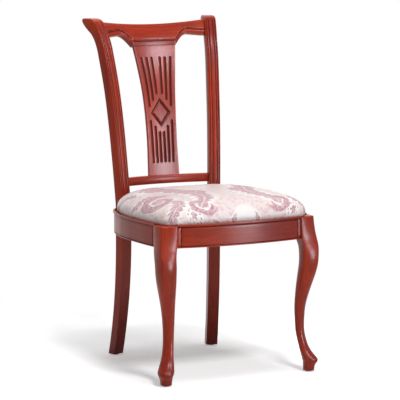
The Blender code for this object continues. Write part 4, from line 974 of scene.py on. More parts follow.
# a little darker at the field's edges beside the grooves: painted shade
FIELD_EDGE_STAIN_AND_SHADE = 0.12
RAIL_SHARP = math.radians(50)
# how far a groove's wall leans, and the share of the side rail over which its heading is taken
GROOVE_LEAN = 0.0004
SIDE_HEADING_RUN = 0.004
# across the incised line in its half widths, and its depth there as a part of its full depth
PANEL_LINE = ((-1.6, 0), (-1, 0.35), (-0.4, 1), (0.4, 1), (1, 0.35), (1.6, 0))
# how far back along the side rail and how far out it is from its rear end
SIDE_CURVE = (
    (0.0, 1.0),
    (0.21, 1.062),
    (0.40, 1.0705),
    (0.56, 1.033),
    (0.66, 0.957),
    (0.77, 0.833),
    (0.875, 0.6225),
    (0.95, 0.33),
    (1.0, 0.0),
)
BLOCK_INNER_FRONT = LEG_BLOCK + BLOCK_ACROSS * BLOCK_HALF_WIDTH
BLOCK_INNER_REAR = LEG_BLOCK - BLOCK_OUT * BLOCK_HALF_DEPTH
BLOCK_OUTER_REAR = LEG_BLOCK - BLOCK_ACROSS * BLOCK_HALF_WIDTH
INNER_FACE = unit(BLOCK_INNER_REAR - BLOCK_INNER_FRONT)
INNER_NORMAL = np.array((-INNER_FACE[1], INNER_FACE[0]))
REAR_FACE = unit(BLOCK_OUTER_REAR - BLOCK_INNER_REAR)
REAR_NORMAL = np.array((-REAR_FACE[1], REAR_FACE[0]))
FRONT_END = BLOCK_INNER_FRONT + INNER_FACE * BLOCK_PROUD + INNER_NORMAL * GAP
FRONT_MIDDLE = FRONT_END[1] - FRONT_ARC_RADIUS + math.sqrt(FRONT_ARC_RADIUS**2 - FRONT_END[0] ** 2)
FRONT_INNER_END = FRONT_END + INNER_FACE * RAIL_THICK
SIDE_START = BLOCK_OUTER_REAR - REAR_FACE * BLOCK_PROUD + REAR_NORMAL * GAP
SIDE_INNER_START = SIDE_START - REAR_FACE * RAIL_THICK
SIDE_END = post_front(FRAME_TOP) + OUTWARD * (POST_WIDTH / 2 - SIDE_END_INSET) - REARWARD * GAP
SIDE_INNER_END = SIDE_END - OUTWARD * SIDE_END_THICK
side_curve = smooth_table(SIDE_CURVE)


def side_face(share):
    """A point on the right side rail's outer face, from its front end to its rear end."""
    x = SIDE_END[0] + (SIDE_START[0] - SIDE_END[0]) * side_curve(share)[0]
    return np.array((x, SIDE_START[1] + (SIDE_END[1] - SIDE_START[1]) * share))


def side_inset(share, inset):
    """The same point moved square to the face, towards the seat's middle."""
    ahead = side_face(min(1, share + SIDE_HEADING_RUN)) - side_face(max(0, share - SIDE_HEADING_RUN))
    return side_face(share) + unit((-ahead[1], ahead[0])) * inset


def rail_profile(line):
    """The outer side of a seat rail, with a share of the incised line: out, height and stain, with painted
    shade in the grooves, the incised line and under the lip, and a painted highlight on the bead and the lip.
    """
    bead = RAIL_BEAD / 2
    bead_top = RAIL_BOTTOM + RAIL_BEAD
    lip_low = FRAME_TOP + LIP_RISE - LIP_HEIGHT
    lip_out = LIP_PROUD - LIP_ROUND
    lip_high = FRAME_TOP + LIP_RISE - LIP_ROUND
    rows = []
    for step in range(9):
        turn = math.radians(-90 + 180 * step / 8)
        height = RAIL_BOTTOM + bead * (1 + math.sin(turn))
        rows.append((bead * (math.cos(turn) - 1), height, ARRIS_STAIN_AND_HIGHLIGHT * math.cos(turn)))
    rows.append((-RAIL_GROOVE - GROOVE_LEAN, bead_top + 0.75 * GROOVE_LEAN, 1.0))
    rows.append((-RAIL_GROOVE, bead_top + 2 * GROOVE_LEAN, 1.0))
    field = bead_top + RAIL_GROOVE + GROOVE_LEAN
    top = lip_low - 2 * RAIL_GROOVE
    for step in range(9):
        stain_and_shade = max(line, FIELD_EDGE_STAIN_AND_SHADE if step in (0, 8) else 0)
        rows.append((-PANEL_LINE_DEPTH * line, field + (top - field) * step / 8, stain_and_shade))
    # darker in the groove under the proud lip: stain with painted shade
    rows.append((-RAIL_GROOVE * 0.6, lip_low - RAIL_GROOVE, 0.7))
    rows.append((-RAIL_GROOVE, lip_low - RAIL_GROOVE / 2, 1.0))
    rows.append((0, lip_low - GROOVE_LEAN / 4, 0.6))
    lip = ((-90, lip_out, lip_low + LIP_ROUND), (0, lip_out, lip_high), (90, LIP_ROUND - LIP_BACK, lip_high))
    for start, out, height in lip:
        for step in range(4):
            turn = math.radians(start + 90 * step / 3)
            rows.append((out + LIP_ROUND * math.cos(turn), height + LIP_ROUND * math.sin(turn), ARRIS_STAIN_AND_HIGHLIGHT))
    # darker at the lip's inner back where the cushion meets it: painted shade
    rows.append((-LIP_BACK, FRAME_TOP, 0.5))
    return rows


def swept_rail(name, stations):
    """A seat rail through stations: an outer and an inner plan point, and the line's depth there."""
    rings = []
    stains_and_shades = []
    for outer, inner, line in stations:
        out = unit(np.array(outer) - np.array(inner))
        profile = rail_profile(line)
        ring = [(*(outer + out * reach), height) for reach, height, _ in profile]
        rings.append(ring + [(*inner, FRAME_TOP), (*inner, RAIL_BOTTOM)])
        stains_and_shades.append([row[2] for row in profile] + [0, 0])
    return lofted(name, rings, stains_and_shades, sharp=RAIL_SHARP)


def with_lines(length, steps):
    """Shares along a rail, close together round the incised line at each end, and its depth."""
    near = [((PANEL_LINE_FROM_END + PANEL_LINE_HALF * side) / length, depth) for side, depth in PANEL_LINE]
    rows = [(0, 0)] + near
    first = near[-1][0]
    rows += [(first + (1 - 2 * first) * step / steps, 0) for step in range(1, steps)]
    rows += [(1 - place, depth) for place, depth in near[::-1] + [(0, 0)]]
    return rows


half_angle = math.asin(FRONT_END[0] / FRONT_ARC_RADIUS)
stations = []
for share, line in with_lines(2 * FRONT_END[0], FRONT_RAIL_STEPS):
    angle = half_angle * (2 * share - 1)
    outward = np.array((math.sin(angle), -math.cos(angle)))
    middle = np.array((0, FRONT_MIDDLE + FRONT_ARC_RADIUS))
    inner = middle + outward * (FRONT_ARC_RADIUS - RAIL_THICK)
    if share in (0, 1):
        inner = FRONT_INNER_END * (2 * share - 1, 1)
    stations.append((middle + outward * FRONT_ARC_RADIUS, inner, line))
front_rail = swept_rail("front_rail_shaped", stations)
fit(front_rail, cross_wood, "lacquered_wood", "front_rail")

stations = []
for share, line in with_lines(SIDE_END[1] - SIDE_START[1], SIDE_RAIL_STEPS):
    inner = side_inset(share, RAIL_THICK)
    if share in (0, 1):
        inner = SIDE_INNER_END if share else SIDE_INNER_START
    stations.append((side_face(share), inner, line))
side_rail = swept_rail("side_rail_right_shaped", stations)
other = flipped(side_rail, "side_rail_left_shaped")
fore_wood = lacquered("lacquered_fore_and_aft", turn=(math.pi / 2, 0, 0))
fit(side_rail, fore_wood, "lacquered_wood", "side_rail_right")
fit(other, fore_wood, "lacquered_wood", "side_rail_left")


# The rear seat rail: a plain bar tenoned between the posts, stained with the rest, its arrises
# just broken. The rear of the loose seat rests on it.
REAR_RAIL_FRONT_SET = 0.0205
REAR_RAIL_THICK = 0.0320
REAR_RAIL_EDGE = 0.0020
REAR_RAIL_BEVEL = 0.0004
REAR_RAIL_STEPS = 24
REAR_RAIL_FRONT = post_inner(FRAME_TOP)[1] - REAR_RAIL_FRONT_SET
REAR_RAIL_END = post_inner(FRAME_TOP)[0] - GAP

back = REAR_RAIL_FRONT + REAR_RAIL_THICK
edge = REAR_RAIL_EDGE
section = rounded(REAR_RAIL_FRONT + edge, RAIL_BOTTOM + edge, edge, 180)
section.append((REAR_RAIL_FRONT, FRAME_TOP - REAR_RAIL_BEVEL, 0))
section.append((REAR_RAIL_FRONT + REAR_RAIL_BEVEL, FRAME_TOP, 0))
section += rounded(back - edge, FRAME_TOP - edge, edge, 0)
section += rounded(back - edge, RAIL_BOTTOM + edge, edge, 270)
rings = []
for x in np.linspace(-REAR_RAIL_END, REAR_RAIL_END, REAR_RAIL_STEPS + 1):
    rings.append([(x, y, z) for y, z, _ in section])
rear_rail = lofted("rear_seat_rail_shaped", rings, [[row[2] for row in section]] * len(rings))
fit(rear_rail, cross_wood, "lacquered_wood", "rear_seat_rail")


# Corner blocks: bare hardwood, sawn to fit each corner, glued and screwed inside the rails. They
# are seen only from below, with the saw's marks left on them.
BLOCK_LIGHT = (0.46, 0.29, 0.14, 1)
BLOCK_MIDDLE = (0.38, 0.22, 0.10, 1)
BLOCK_DARK = (0.20, 0.10, 0.04, 1)
SAW_SCALE = 45.0

bare_wood, tree, shader = material("bare_hardwood")
place = put(tree, "ShaderNodeTexCoord").outputs["Object"]
grain = grained(tree, (0, math.pi / 2, 0), Light=BLOCK_LIGHT, Middle=BLOCK_MIDDLE, Dark=BLOCK_DARK)
marks = {"Vector": place, "Scale": SAW_SCALE, "Distortion": 2.0, "Detail": 2.0}
saw = put(tree, "ShaderNodeTexWave", marks).outputs["Fac"]
sawn = {
    "Base Color": grain["Color"],
    "Roughness": ramp(saw, 0.0, 1.0, 0.62, 0.8, "LINEAR"),
    "Normal": bump(sums("ADD", saw, grain["Height"]), 0.35, 0.0003),
}
feed(shader, sawn)
for end in ("front", "rear"):
    for side in ("left", "right"):
        painted(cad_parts[f"corner_block_{end}_{side}"], bare_wood)


# The board of the loose seat: 10 mm birch plywood sawn to the seat's shape, with its plies showing
# on the sawn edge. It lies on the rails, and four screws hold it down from below.
PLY_COUNT = 7
BOARD_THICK = 0.0100
PLY_LIGHT = (0.62, 0.45, 0.27, 1)
PLY_MIDDLE = (0.55, 0.38, 0.21, 1)
PLY_DARK = (0.36, 0.22, 0.11, 1)
CROSS_PLY = (0.30, 0.18, 0.08, 1)

plywood, tree, shader = material("birch_plywood")
grain = grained(tree, (math.pi / 2, 0, 0), Light=PLY_LIGHT, Middle=PLY_MIDDLE, Dark=PLY_DARK)
normal = put(tree, "ShaderNodeNewGeometry").outputs["True Normal"]
upright = put(tree, "ShaderNodeSeparateXYZ", {0: normal}).outputs["Z"]
edge_on = sums("LESS_THAN", sums("ABSOLUTE", upright), 0.5)
place = put(tree, "ShaderNodeTexCoord").outputs["Object"]
height = put(tree, "ShaderNodeSeparateXYZ", {0: place}).outputs["Z"]
plies = sums("SINE", times(height, math.pi * PLY_COUNT / BOARD_THICK))
shown = times(sums("GREATER_THAN", plies, 0.0), edge_on)
sawn = {
    "Base Color": overlaid(grain["Color"], CROSS_PLY, times(shown, 0.7)),
    "Roughness": ramp(grain["Height"], 0.0, 1.0, 0.6, 0.78, "LINEAR"),
    "Normal": bump(grain["Height"], 0.2, 0.0003),
}
feed(shader, sawn)
painted(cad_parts["seat_board"], plywood)


# The cushion: a foam pad on the board, covered in one piece of damask drawn down over the edges
# and turned under, so that it crowns in the middle and comes down almost square at the sides.
# The cloth swells in a simulation from a slightly smaller cut, and a quarter of that is kept.
COVER_THICK = 0.0012
CUSHION_LOW = FRAME_TOP + GAP
CUSHION_HEIGHT = 0.0685
CUSHION_FRONT_SET = 0.0090
CUSHION_CORNER_SET = 0.0075
CUSHION_CORNER_RADIUS = 0.0500
CUSHION_SIDE_SET = 0.0035
CUSHION_REAR_SIDE_SET = 0.0090
CUSHION_REAR_SET = 0.0030
CUSHION_REAR_BOW = 0.0015
CUSHION_CUT_SHORT = 0.0030
CUSHION_SWELL = 0.0060
CUSHION_CELLS = 84
CUSHION_FRONT_STEPS = 20
CUSHION_SIDE_STEPS = 60
CUSHION_REAR_STEPS = 8
CLOTH_FRAMES = 20
CLOTH_SETTINGS = {
    "quality": 6,
    "mass": 0.3,
    "tension_stiffness": 20,
    "compression_stiffness": 20,
    "shear_stiffness": 8,
    "bending_stiffness": 0.6,
    "use_pressure": True,
    "uniform_pressure_force": 4.0,
}
# how far below and above the board's top the cloth is still held, and where it is wholly loose
HELD_BELOW = 0.0040
HELD_ABOVE = 0.0060
LOOSE_ABOVE = 0.0140
CLOTH_SMOOTHING = 8
SWELLING_KEPT = 0.25
# place out from the middle and height, from the crown down to the widest line, then under
CROWN = (
    (0.0, 1.0),
    (0.28, 0.985),
    (0.52, 0.945),
    (0.72, 0.88),
    (0.85, 0.785),
    (0.925, 0.64),
    (0.970, 0.49),
    (0.992, 0.35),
    (1.0, 0.21),
)
SKIRT = (
    (0.9985, 0.155),
    (0.997, 0.10),
    (0.994, 0.05),
    (0.990, 0.012),
    (0.984, 0.002),
    (0.974, 0.0),
    (0.94, 0.0),
    (0.90, 0.0),
    (0.86, 0.0),
    (0.82, 0.0),
    (0.78, 0.0),
    (0.74, 0.0),
)


def cushion_outline():
    """Points round the cushion where it is widest, from the middle of the front."""
    corner = LEG_BLOCK + BLOCK_OUT * BLOCK_HALF_DEPTH
    centre = corner - np.array((CUSHION_CORNER_SET, CUSHION_CORNER_SET / 2))
    centre = centre + np.array((-CUSHION_CORNER_RADIUS, CUSHION_CORNER_RADIUS))
    front = FRONT_MIDDLE + CUSHION_FRONT_SET
    start = centre[1] - CUSHION_CORNER_RADIUS
    half = []
    for step in range(CUSHION_FRONT_STEPS - 1):
        share = step / CUSHION_FRONT_STEPS
        half.append((centre[0] * share, front + (start - front) * share**2))
    for turn in range(10, 86, 6):
        angle = math.radians(turn)
        half.append(tuple(centre + np.array((math.sin(angle), -math.cos(angle))) * CUSHION_CORNER_RADIUS))
    for step in range(9, CUSHION_SIDE_STEPS - 1):
        share = step / CUSHION_SIDE_STEPS
        grown = fade(share, 0.4, 1)
        half.append(tuple(side_inset(share, mix(CUSHION_SIDE_SET, CUSHION_REAR_SIDE_SET, grown))))
    rear = SIDE_END[1] - CUSHION_REAR_SET
    for step in range(CUSHION_REAR_STEPS + 1):
        share = step / CUSHION_REAR_STEPS
        half.append((SIDE_INNER_END[0] * (1 - share), rear + CUSHION_REAR_BOW * share))
    return np.array(half + [(-x, y) for x, y in half[-2:0:-1]])


outline = cushion_outline()
CUSHION_MIDDLE = np.array((0, (outline[:, 1].min() + outline[:, 1].max()) / 2))
spokes = outline - CUSHION_MIDDLE
angles = np.arctan2(spokes[:, 1], spokes[:, 0])
order = np.argsort(angles)
outline_angles = np.concatenate([angles[order] - 2 * math.pi, angles[order], angles[order] + 2 * math.pi])
outline_reach = np.tile(np.linalg.norm(spokes, axis=1)[order], 3)


def cushion_reach(angle):
    """How far the cushion's outline is from its middle at an angle."""
    return np.interp(angle, outline_angles, outline_reach)


section = np.array(CROWN) * (SIDE_START[0], CUSHION_HEIGHT)
run = np.concatenate([[0], np.cumsum(np.linalg.norm(np.diff(section, axis=0), axis=1))])
crown_length = run[-1]
crown_row = smooth_table([(length, share, high) for length, (share, high) in zip(run / crown_length, CROWN)])


net = np.arange((CUSHION_CELLS + 1) ** 2).reshape(CUSHION_CELLS + 1, -1)
net_rim = np.concatenate([net[0, :-1], net[:-1, -1], net[-1, :0:-1], net[:0:-1, 0]]).tolist()


def net_faces():
    """The faces of the cushion's square net, row by row."""
    firsts = net[:-1, :-1].reshape(-1).tolist()
    across = CUSHION_CELLS + 1
    return [(first, first + 1, first + across + 1, first + across) for first in firsts]


def band_faces(upper, lower):
    """The faces of a closed band between two rings of points."""
    after = [*range(1, len(upper)), 0]
    return [(upper[far], upper[near], lower[near], lower[far]) for near, far in enumerate(after)]


def cushion_points(smaller):
    """A square net drawn round to the crown and led down the sides, and each point's cloth place."""
    points = []
    places = []
    for t in np.linspace(-1, 1, CUSHION_CELLS + 1):
        for s in np.linspace(-1, 1, CUSHION_CELLS + 1):
            x = s * math.sqrt(1 - t * t / 2)
            y = t * math.sqrt(1 - s * s / 2)
            out = math.hypot(x, y)
            angle = math.atan2(y, x)
            share, high = crown_row(min(1, out))
            reach = cushion_reach(angle)
            heading = np.array((math.cos(angle), math.sin(angle)))
            plan = CUSHION_MIDDLE + heading * (reach - smaller) * share
            points.append((*plan, CUSHION_LOW + CUSHION_HEIGHT * high - smaller * high))
            places.append((*(CUSHION_MIDDLE + heading * reach * out * crown_length / SIDE_START[0]), 0))
    faces = net_faces()
    upper = net_rim
    length = crown_length
    before = CROWN[-1]
    for share, high in SKIRT:
        length += math.hypot((share - before[0]) * SIDE_START[0], (high - before[1]) * CUSHION_HEIGHT)
        before = (share, high)
        lower = list(range(len(points), len(points) + len(net_rim)))
        for index in net_rim:
            angle = math.atan2(places[index][1] - CUSHION_MIDDLE[1], places[index][0])
            heading = np.array((math.cos(angle), math.sin(angle)))
            reach = cushion_reach(angle)
            plan = CUSHION_MIDDLE + heading * (reach - smaller * fade(high, 0, CROWN[-1][1])) * share
            points.append((*plan, CUSHION_LOW + CUSHION_HEIGHT * high))
            places.append((*(CUSHION_MIDDLE + heading * reach * length / SIDE_START[0]), 0))
        faces += band_faces(upper, lower)
        upper = lower
    return points, places, faces


def skin(name, smaller):
    """A mesh of the cushion's outside, with the place of each point on the flat cloth."""
    points, places, faces = cushion_points(smaller)
    mesh = bpy.data.meshes.new(name)
    mesh.from_pydata([(x, y + CHAIR_SHIFT, z) for x, y, z in points], [], faces)
    cloth_place = mesh.attributes.new("cloth_place", "FLOAT_VECTOR", "POINT")
    cloth_place.data.foreach_set("vector", np.array(places, float).reshape(-1))
    mesh.shade_smooth()
    return linked(name, mesh)


def settled(piece):
    """Works the piece's modifiers into a plain mesh."""
    graph = bpy.context.evaluated_depsgraph_get()
    evaluated = piece.evaluated_get(graph)
    mesh = bpy.data.meshes.new_from_object(evaluated, preserve_all_data_layers=True, depsgraph=graph)
    piece.modifiers.clear()
    piece.data = mesh


def vert_places(mesh):
    return np.array([tuple(vert.co) for vert in mesh.vertices])


def swollen(piece):
    """Lets the cloth swell under the pad's pressure, held at the board, for a limited way."""
    start = vert_places(piece.data)
    held = piece.vertex_groups.new(name="held_at_board")
    board_top = CUSHION_LOW + COVER_THICK + BOARD_THICK
    for index, height in enumerate(start[:, 2]):
        weight = 1 - fade(height, board_top - HELD_BELOW, board_top + HELD_ABOVE)
        if weight > 0:
            held.add([index], weight, "REPLACE")
    cloth = piece.modifiers.new("cloth", "CLOTH")
    for name, value in CLOTH_SETTINGS.items():
        setattr(cloth.settings, name, value)
    cloth.settings.effector_weights.gravity = 0
    cloth.settings.vertex_group_mass = held.name
    cloth.point_cache.frame_start = 1
    cloth.point_cache.frame_end = CLOTH_FRAMES
    for moment in range(1, CLOTH_FRAMES + 1):
        bpy.context.scene.frame_set(moment)
    settled(piece)
    moved = vert_places(piece.data) - start
    far = np.linalg.norm(moved, axis=1)[:, None]
    drawn = start + moved * np.minimum(1, CUSHION_SWELL / np.maximum(far, 1e-9))
    edges = np.array([tuple(edge.vertices) for edge in piece.data.edges])
    loose = fade(start[:, 2], board_top + HELD_BELOW, board_top + LOOSE_ABOVE)[:, None]
    for _ in range(CLOTH_SMOOTHING):
        around = np.zeros_like(drawn)
        met = np.zeros(len(drawn))
        for near, other in ((edges[:, 0], edges[:, 1]), (edges[:, 1], edges[:, 0])):
            np.add.at(around, near, drawn[other])
            np.add.at(met, near, 1)
        drawn += (around / met[:, None] - drawn) * 0.5 * loose
    filled = np.array(cushion_points(0.0)[0]) + (0, CHAIR_SHIFT, 0)
    piece.data.vertices.foreach_set("co", mix(filled, drawn, SWELLING_KEPT).reshape(-1))
    piece.vertex_groups.clear()
    bpy.context.scene.frame_set(1)


cushion = skin("seat_cover_shaped", CUSHION_CUT_SHORT)
swollen(cushion)
cushion_net = vert_places(cushion.data)[: net.size]
net_normals = np.array([tuple(vert.normal) for vert in cushion.data.vertices[: net.size]])
finer = cushion.modifiers.new("finer", "SUBSURF")
finer.levels = 1
finer.render_levels = 1
wall = cushion.modifiers.new("cloth_thickness", "SOLIDIFY")
wall.thickness = COVER_THICK
wall.offset = -1
settled(cushion)
cushion.data.shade_smooth()


# The damask: a satin ground in silvery cream with a matt figure in dusty rose, tall acanthus fronds
# and scrolls that mirror each other across the seat, and a pale sprigged filling between them.
GROUND = (0.67, 0.595, 0.58, 1)
FIGURE = (0.48, 0.265, 0.31, 1)
FIGURE_DEEP = (0.35, 0.165, 0.205, 1)
SPRIG = (0.63, 0.44, 0.45, 1)
SILVER = (0.80, 0.785, 0.78, 1)
MIRROR_LINE = 0.016
THREAD_PITCH = 0.0007
# centre on the cloth, heading, half length, half width, bend, and count of leaves; all left of the
# mirror line
FRONDS = (
    ((-0.098, -0.030), -104, 0.205, 0.27, 0.30, 7.0),
    ((-0.196, -0.235), -98, 0.070, 0.42, -0.35, 4.0),
    ((-0.215, -0.065), -30, 0.052, 0.42, 0.30, 3.0),
    ((-0.150, 0.150), 150, 0.085, 0.30, 0.30, 5.0),
    ((-0.018, -0.330), 75, 0.060, 0.36, 0.30, 3.0),
    ((-0.088, -0.335), 110, 0.055, 0.40, -0.30, 3.0),
    ((-0.235, 0.060), 100, 0.070, 0.30, 0.30, 4.0),
)
# eye on the cloth, turn, size, hand, and count of leaves to a turn
SCROLLS = (
    ((-0.200, -0.140), 150, 0.076, 1, 5),
    ((-0.148, 0.020), 30, 0.050, -1, 4),
    ((-0.070, -0.075), -70, 0.056, 1, 5),
    ((-0.108, -0.225), 200, 0.050, -1, 4),
    ((-0.030, 0.120), 120, 0.052, 1, 4),
    ((-0.225, -0.300), 60, 0.050, 1, 4),
)
ROSETTES = (((-0.150, -0.262), 0.034, 0.66),)
# places on the cloth that are left bare of sprigs, and their reach
BARE_PLACES = (((0.016, -0.285), 0.046), ((-0.175, 0.045), 0.050), ((-0.160, -0.215), 0.030))


def zigzag(value):
    """Runs from 1 down to 0 and back with each whole step of the value."""
    return sums("ABSOLUTE", sums("MULTIPLY_ADD", sums("FRACT", value), 2.0, -1.0))


def motif_frame(tree, source):
    """The place on the cloth as seen from a motif's centre, turned with it and in its own size."""
    inputs = {0: source["Vector"], 1: source["Centre"]}
    off = put(tree, "ShaderNodeVectorMath", inputs, operation="SUBTRACT").outputs[0]
    inputs = {"Vector": off, "Angle": source["Turn"]}
    turned = put(tree, "ShaderNodeVectorRotate", inputs, rotation_type="Z_AXIS").outputs[0]
    inputs = {0: turned, "Scale": sums("DIVIDE", 1.0, source["Size"])}
    local = put(tree, "ShaderNodeVectorMath", inputs, operation="SCALE").outputs[0]
    return put(tree, "ShaderNodeSeparateXYZ", {0: local}).outputs


def motif_sockets(tree, own, outputs):
    """A motif's inputs, its place and size and those of its own, and its outputs."""
    inputs = [("Vector", "NodeSocketVector", None), ("Centre", "NodeSocketVector", None)]
    inputs += [(name, "NodeSocketFloat", value) for name, value in (("Turn", 0.0), ("Size", 0.1), *own)]
    return sockets(tree, inputs, outputs)


def frond_group():
    """An acanthus frond: a bent spine with leaves that lean forward on both sides."""
    tree = bpy.data.node_groups.new("acanthus_frond", "ShaderNodeTree")
    own = ("Width", 0.3), ("Bend", 0.2), ("Leaves", 6.0)
    source, result = motif_sockets(tree, own, ("Figure", "Vein", "Rim"))
    local = motif_frame(tree, source)
    along = local["X"]
    sway = times(source["Bend"], sums("SINE", times(along, 2.6)))
    side = sums("SUBTRACT", local["Y"], sway)
    across = sums("DIVIDE", sums("ABSOLUTE", side), source["Width"])
    full = sums("SUBTRACT", 1.0, times(along, along), clamp=True)
    taper = times(sums("POWER", full, 0.6), sums("MULTIPLY_ADD", along, -0.25, 0.8))
    other = times(sums("GREATER_THAN", side, 0.0), 0.37)
    leaning = sums("MULTIPLY_ADD", along, source["Leaves"], sums("MULTIPLY_ADD", across, -0.75, other))
    leaf = zigzag(leaning)
    small = zigzag(sums("MULTIPLY_ADD", leaning, 3.0, 0.2))
    lobed = sums("MULTIPLY_ADD", small, 0.16, sums("MULTIPLY_ADD", leaf, 0.60, 0.42))
    beyond = sums("SUBTRACT", across, times(taper, lobed))
    body = ramp(beyond, 0.05, -0.05)
    slash = times(ramp(leaf, 0.24, 0.08), ramp(across, 0.14, 0.30))
    ridge = times(ramp(leaf, 0.90, 0.97), ramp(across, 0.10, 0.22))
    spine = sums("MAXIMUM", ramp(across, 0.09, 0.03), ridge)
    rim = times(ramp(beyond, 0.05, 0.12), ramp(beyond, 0.42, 0.26))
    figure = times(body, sums("SUBTRACT", 1.0, slash))
    feed(result, {"Figure": figure, "Vein": times(spine, body), "Rim": times(rim, ramp(full, 0.0, 0.2))})
    return tree


def scroll_group():
    """A leafy scroll: a log spiral band that narrows to its tail, slashed into leaves."""
    tree = bpy.data.node_groups.new("acanthus_scroll", "ShaderNodeTree")
    own = ("Hand", 1.0), ("Leaves", 5.0), ("Winding", 4.2)
    source, result = motif_sockets(tree, own, ("Figure", "Rim"))
    local = motif_frame(tree, source)
    handed = times(local["Y"], source["Hand"])
    square = sums("MULTIPLY_ADD", local["X"], local["X"], sums("MULTIPLY_ADD", handed, handed, 0.0006))
    reach = sums("SQRT", square)
    wound = sums("LOGARITHM", reach, source["Winding"])
    band = sums("MULTIPLY_ADD", sums("ARCTAN2", handed, local["X"]), 1 / (2 * math.pi), wound)
    across = zigzag(band)
    leaf = zigzag(sums("MULTIPLY_ADD", across, 0.8, times(wound, source["Leaves"])))
    taper = ramp(reach, 1.0, 0.5, 0.0, 0.80)
    lobed = times(taper, sums("MULTIPLY_ADD", leaf, 0.5, 0.62))
    beyond = sums("SUBTRACT", across, lobed)
    slash = times(ramp(leaf, 0.22, 0.08), ramp(across, 0.2, 0.4))
    figure = times(ramp(beyond, 0.06, -0.06), sums("SUBTRACT", 1.0, slash))
    rim = times(ramp(beyond, 0.06, 0.14), ramp(reach, 0.85, 0.6))
    feed(result, {"Figure": times(figure, ramp(reach, 1.0, 0.94)), "Rim": rim})
    return tree


def rosette_group():
    """An oval rosette: a petalled heart in a pale ring, with a ring of beads round it."""
    tree = bpy.data.node_groups.new("oval_rosette", "ShaderNodeTree")
    source, result = motif_sockets(tree, [("Oval", 0.8)], ("Figure", "Rim"))
    local = motif_frame(tree, source)
    wide = sums("DIVIDE", local["X"], source["Oval"])
    square = sums("MULTIPLY_ADD", wide, wide, times(local["Y"], local["Y"]))
    reach = sums("SQRT", square)
    angle = sums("ARCTAN2", local["Y"], wide)
    petals = sums("ABSOLUTE", sums("COSINE", times(angle, 2.5)))
    heart = ramp(sums("SUBTRACT", reach, sums("MULTIPLY_ADD", petals, 0.3, 0.14)), 0.04, -0.04)
    beads = ramp(sums("COSINE", times(angle, 11.0)), -0.1, 0.3)
    ring = times(ramp(reach, 0.62, 0.68), ramp(reach, 0.86, 0.80))
    figure = sums("MAXIMUM", heart, times(ring, beads))
    rim = times(ramp(reach, 1.1, 0.98), sums("SUBTRACT", 1.0, figure))
    feed(result, {"Figure": figure, "Rim": rim})
    return tree


def motif(tree, group, vector, centre, **values):
    """Places one motif on the cloth."""
    inputs = {"Vector": vector, "Centre": (*centre, 0), **values}
    return put(tree, "ShaderNodeGroup", inputs, node_tree=group).outputs


def strongest(values):
    """The greatest of some values, in one chain of nodes."""
    most = values[0]
    for value in values[1:]:
        most = sums("MAXIMUM", most, value)
    return most


frond = frond_group()
scroll = scroll_group()
rosette = rosette_group()
damask, tree, shader = material("silver_and_rose_damask")
on_cloth = put(tree, "ShaderNodeAttribute", attribute_name="cloth_place").outputs["Vector"]
waver = put(tree, "ShaderNodeTexNoise", {"Vector": on_cloth, "Scale": 24.0, "Detail": 2.0}).outputs["Color"]
centred = put(tree, "ShaderNodeVectorMath", {0: waver, 1: (0.5, 0.5, 0.5)}, operation="SUBTRACT").outputs[0]
inputs = {0: centred, 1: (0.020, 0.020, 0), 2: on_cloth}
strayed = put(tree, "ShaderNodeVectorMath", inputs, operation="MULTIPLY_ADD").outputs[0]
spread = put(tree, "ShaderNodeSeparateXYZ", {0: strayed}).outputs
from_line = sums("ABSOLUTE", sums("SUBTRACT", spread["X"], MIRROR_LINE))
mirrored_x = sums("SUBTRACT", MIRROR_LINE, from_line)
mirrored = put(tree, "ShaderNodeCombineXYZ", {"X": mirrored_x, "Y": spread["Y"]}).outputs[0]
motifs = []
for centre, heading, size, width, bend, leaves in FRONDS:
    sizes = {"Turn": math.radians(-heading), "Size": size, "Width": width, "Bend": bend, "Leaves": leaves}
    motifs.append(motif(tree, frond, mirrored, centre, **sizes))
veins = [made["Vein"] for made in motifs]
for centre, turn, size, hand, leaves in SCROLLS:
    sizes = {"Turn": math.radians(turn), "Size": size, "Hand": hand, "Leaves": leaves}
    motifs.append(motif(tree, scroll, mirrored, centre, **sizes))
for centre, size, oval in ROSETTES:
    motifs.append(motif(tree, rosette, mirrored, centre, Size=size, Oval=oval))
figure = strongest([made["Figure"] for made in motifs])
inputs = {"Vector": strayed, "Scale": 62.0, "Detail": 2.0, "Distortion": 2.2}
curls = put(tree, "ShaderNodeTexNoise", inputs).outputs["Fac"]
curling = sums("ABSOLUTE", sums("SUBTRACT", curls, 0.5))
figure = times(figure, ramp(curling, 0.012, 0.034, 0.35, 1.0))
rim = strongest([made["Rim"] for made in motifs])
vein = strongest(veins)
bare = []
for centre, reach in BARE_PLACES:
    inputs = {0: mirrored, 1: (*centre, 0)}
    away = put(tree, "ShaderNodeVectorMath", inputs, operation="DISTANCE").outputs["Value"]
    bare.append(ramp(away, reach, reach * 0.7))
plain = strongest(bare)

# The filling between the motifs: buds and small curling leaves
sprigs = put(tree, "ShaderNodeTexVoronoi", {"Vector": strayed, "Scale": 80.0, "Randomness": 0.9})
buds = ramp(sprigs.outputs["Distance"], 0.46, 0.30)
inputs = {"Vector": strayed, "Scale": 70.0, "Detail": 2.0, "Distortion": 1.2}
leaflets = ramp(put(tree, "ShaderNodeTexNoise", inputs).outputs["Fac"], 0.52, 0.56)
patches = put(tree, "ShaderNodeTexNoise", {"Vector": mirrored, "Scale": 7.0, "Detail": 1.0}).outputs["Fac"]
budded = times(buds, ramp(patches, 0.46, 0.56, 0.1, 0.8))
leafed = times(leaflets, ramp(patches, 0.58, 0.46, 0.35, 1.0))
filling = times(sums("MAXIMUM", budded, leafed), sums("SUBTRACT", 1.0, rim, clamp=True))
filling = times(filling, sums("SUBTRACT", 1.0, plain, clamp=True))

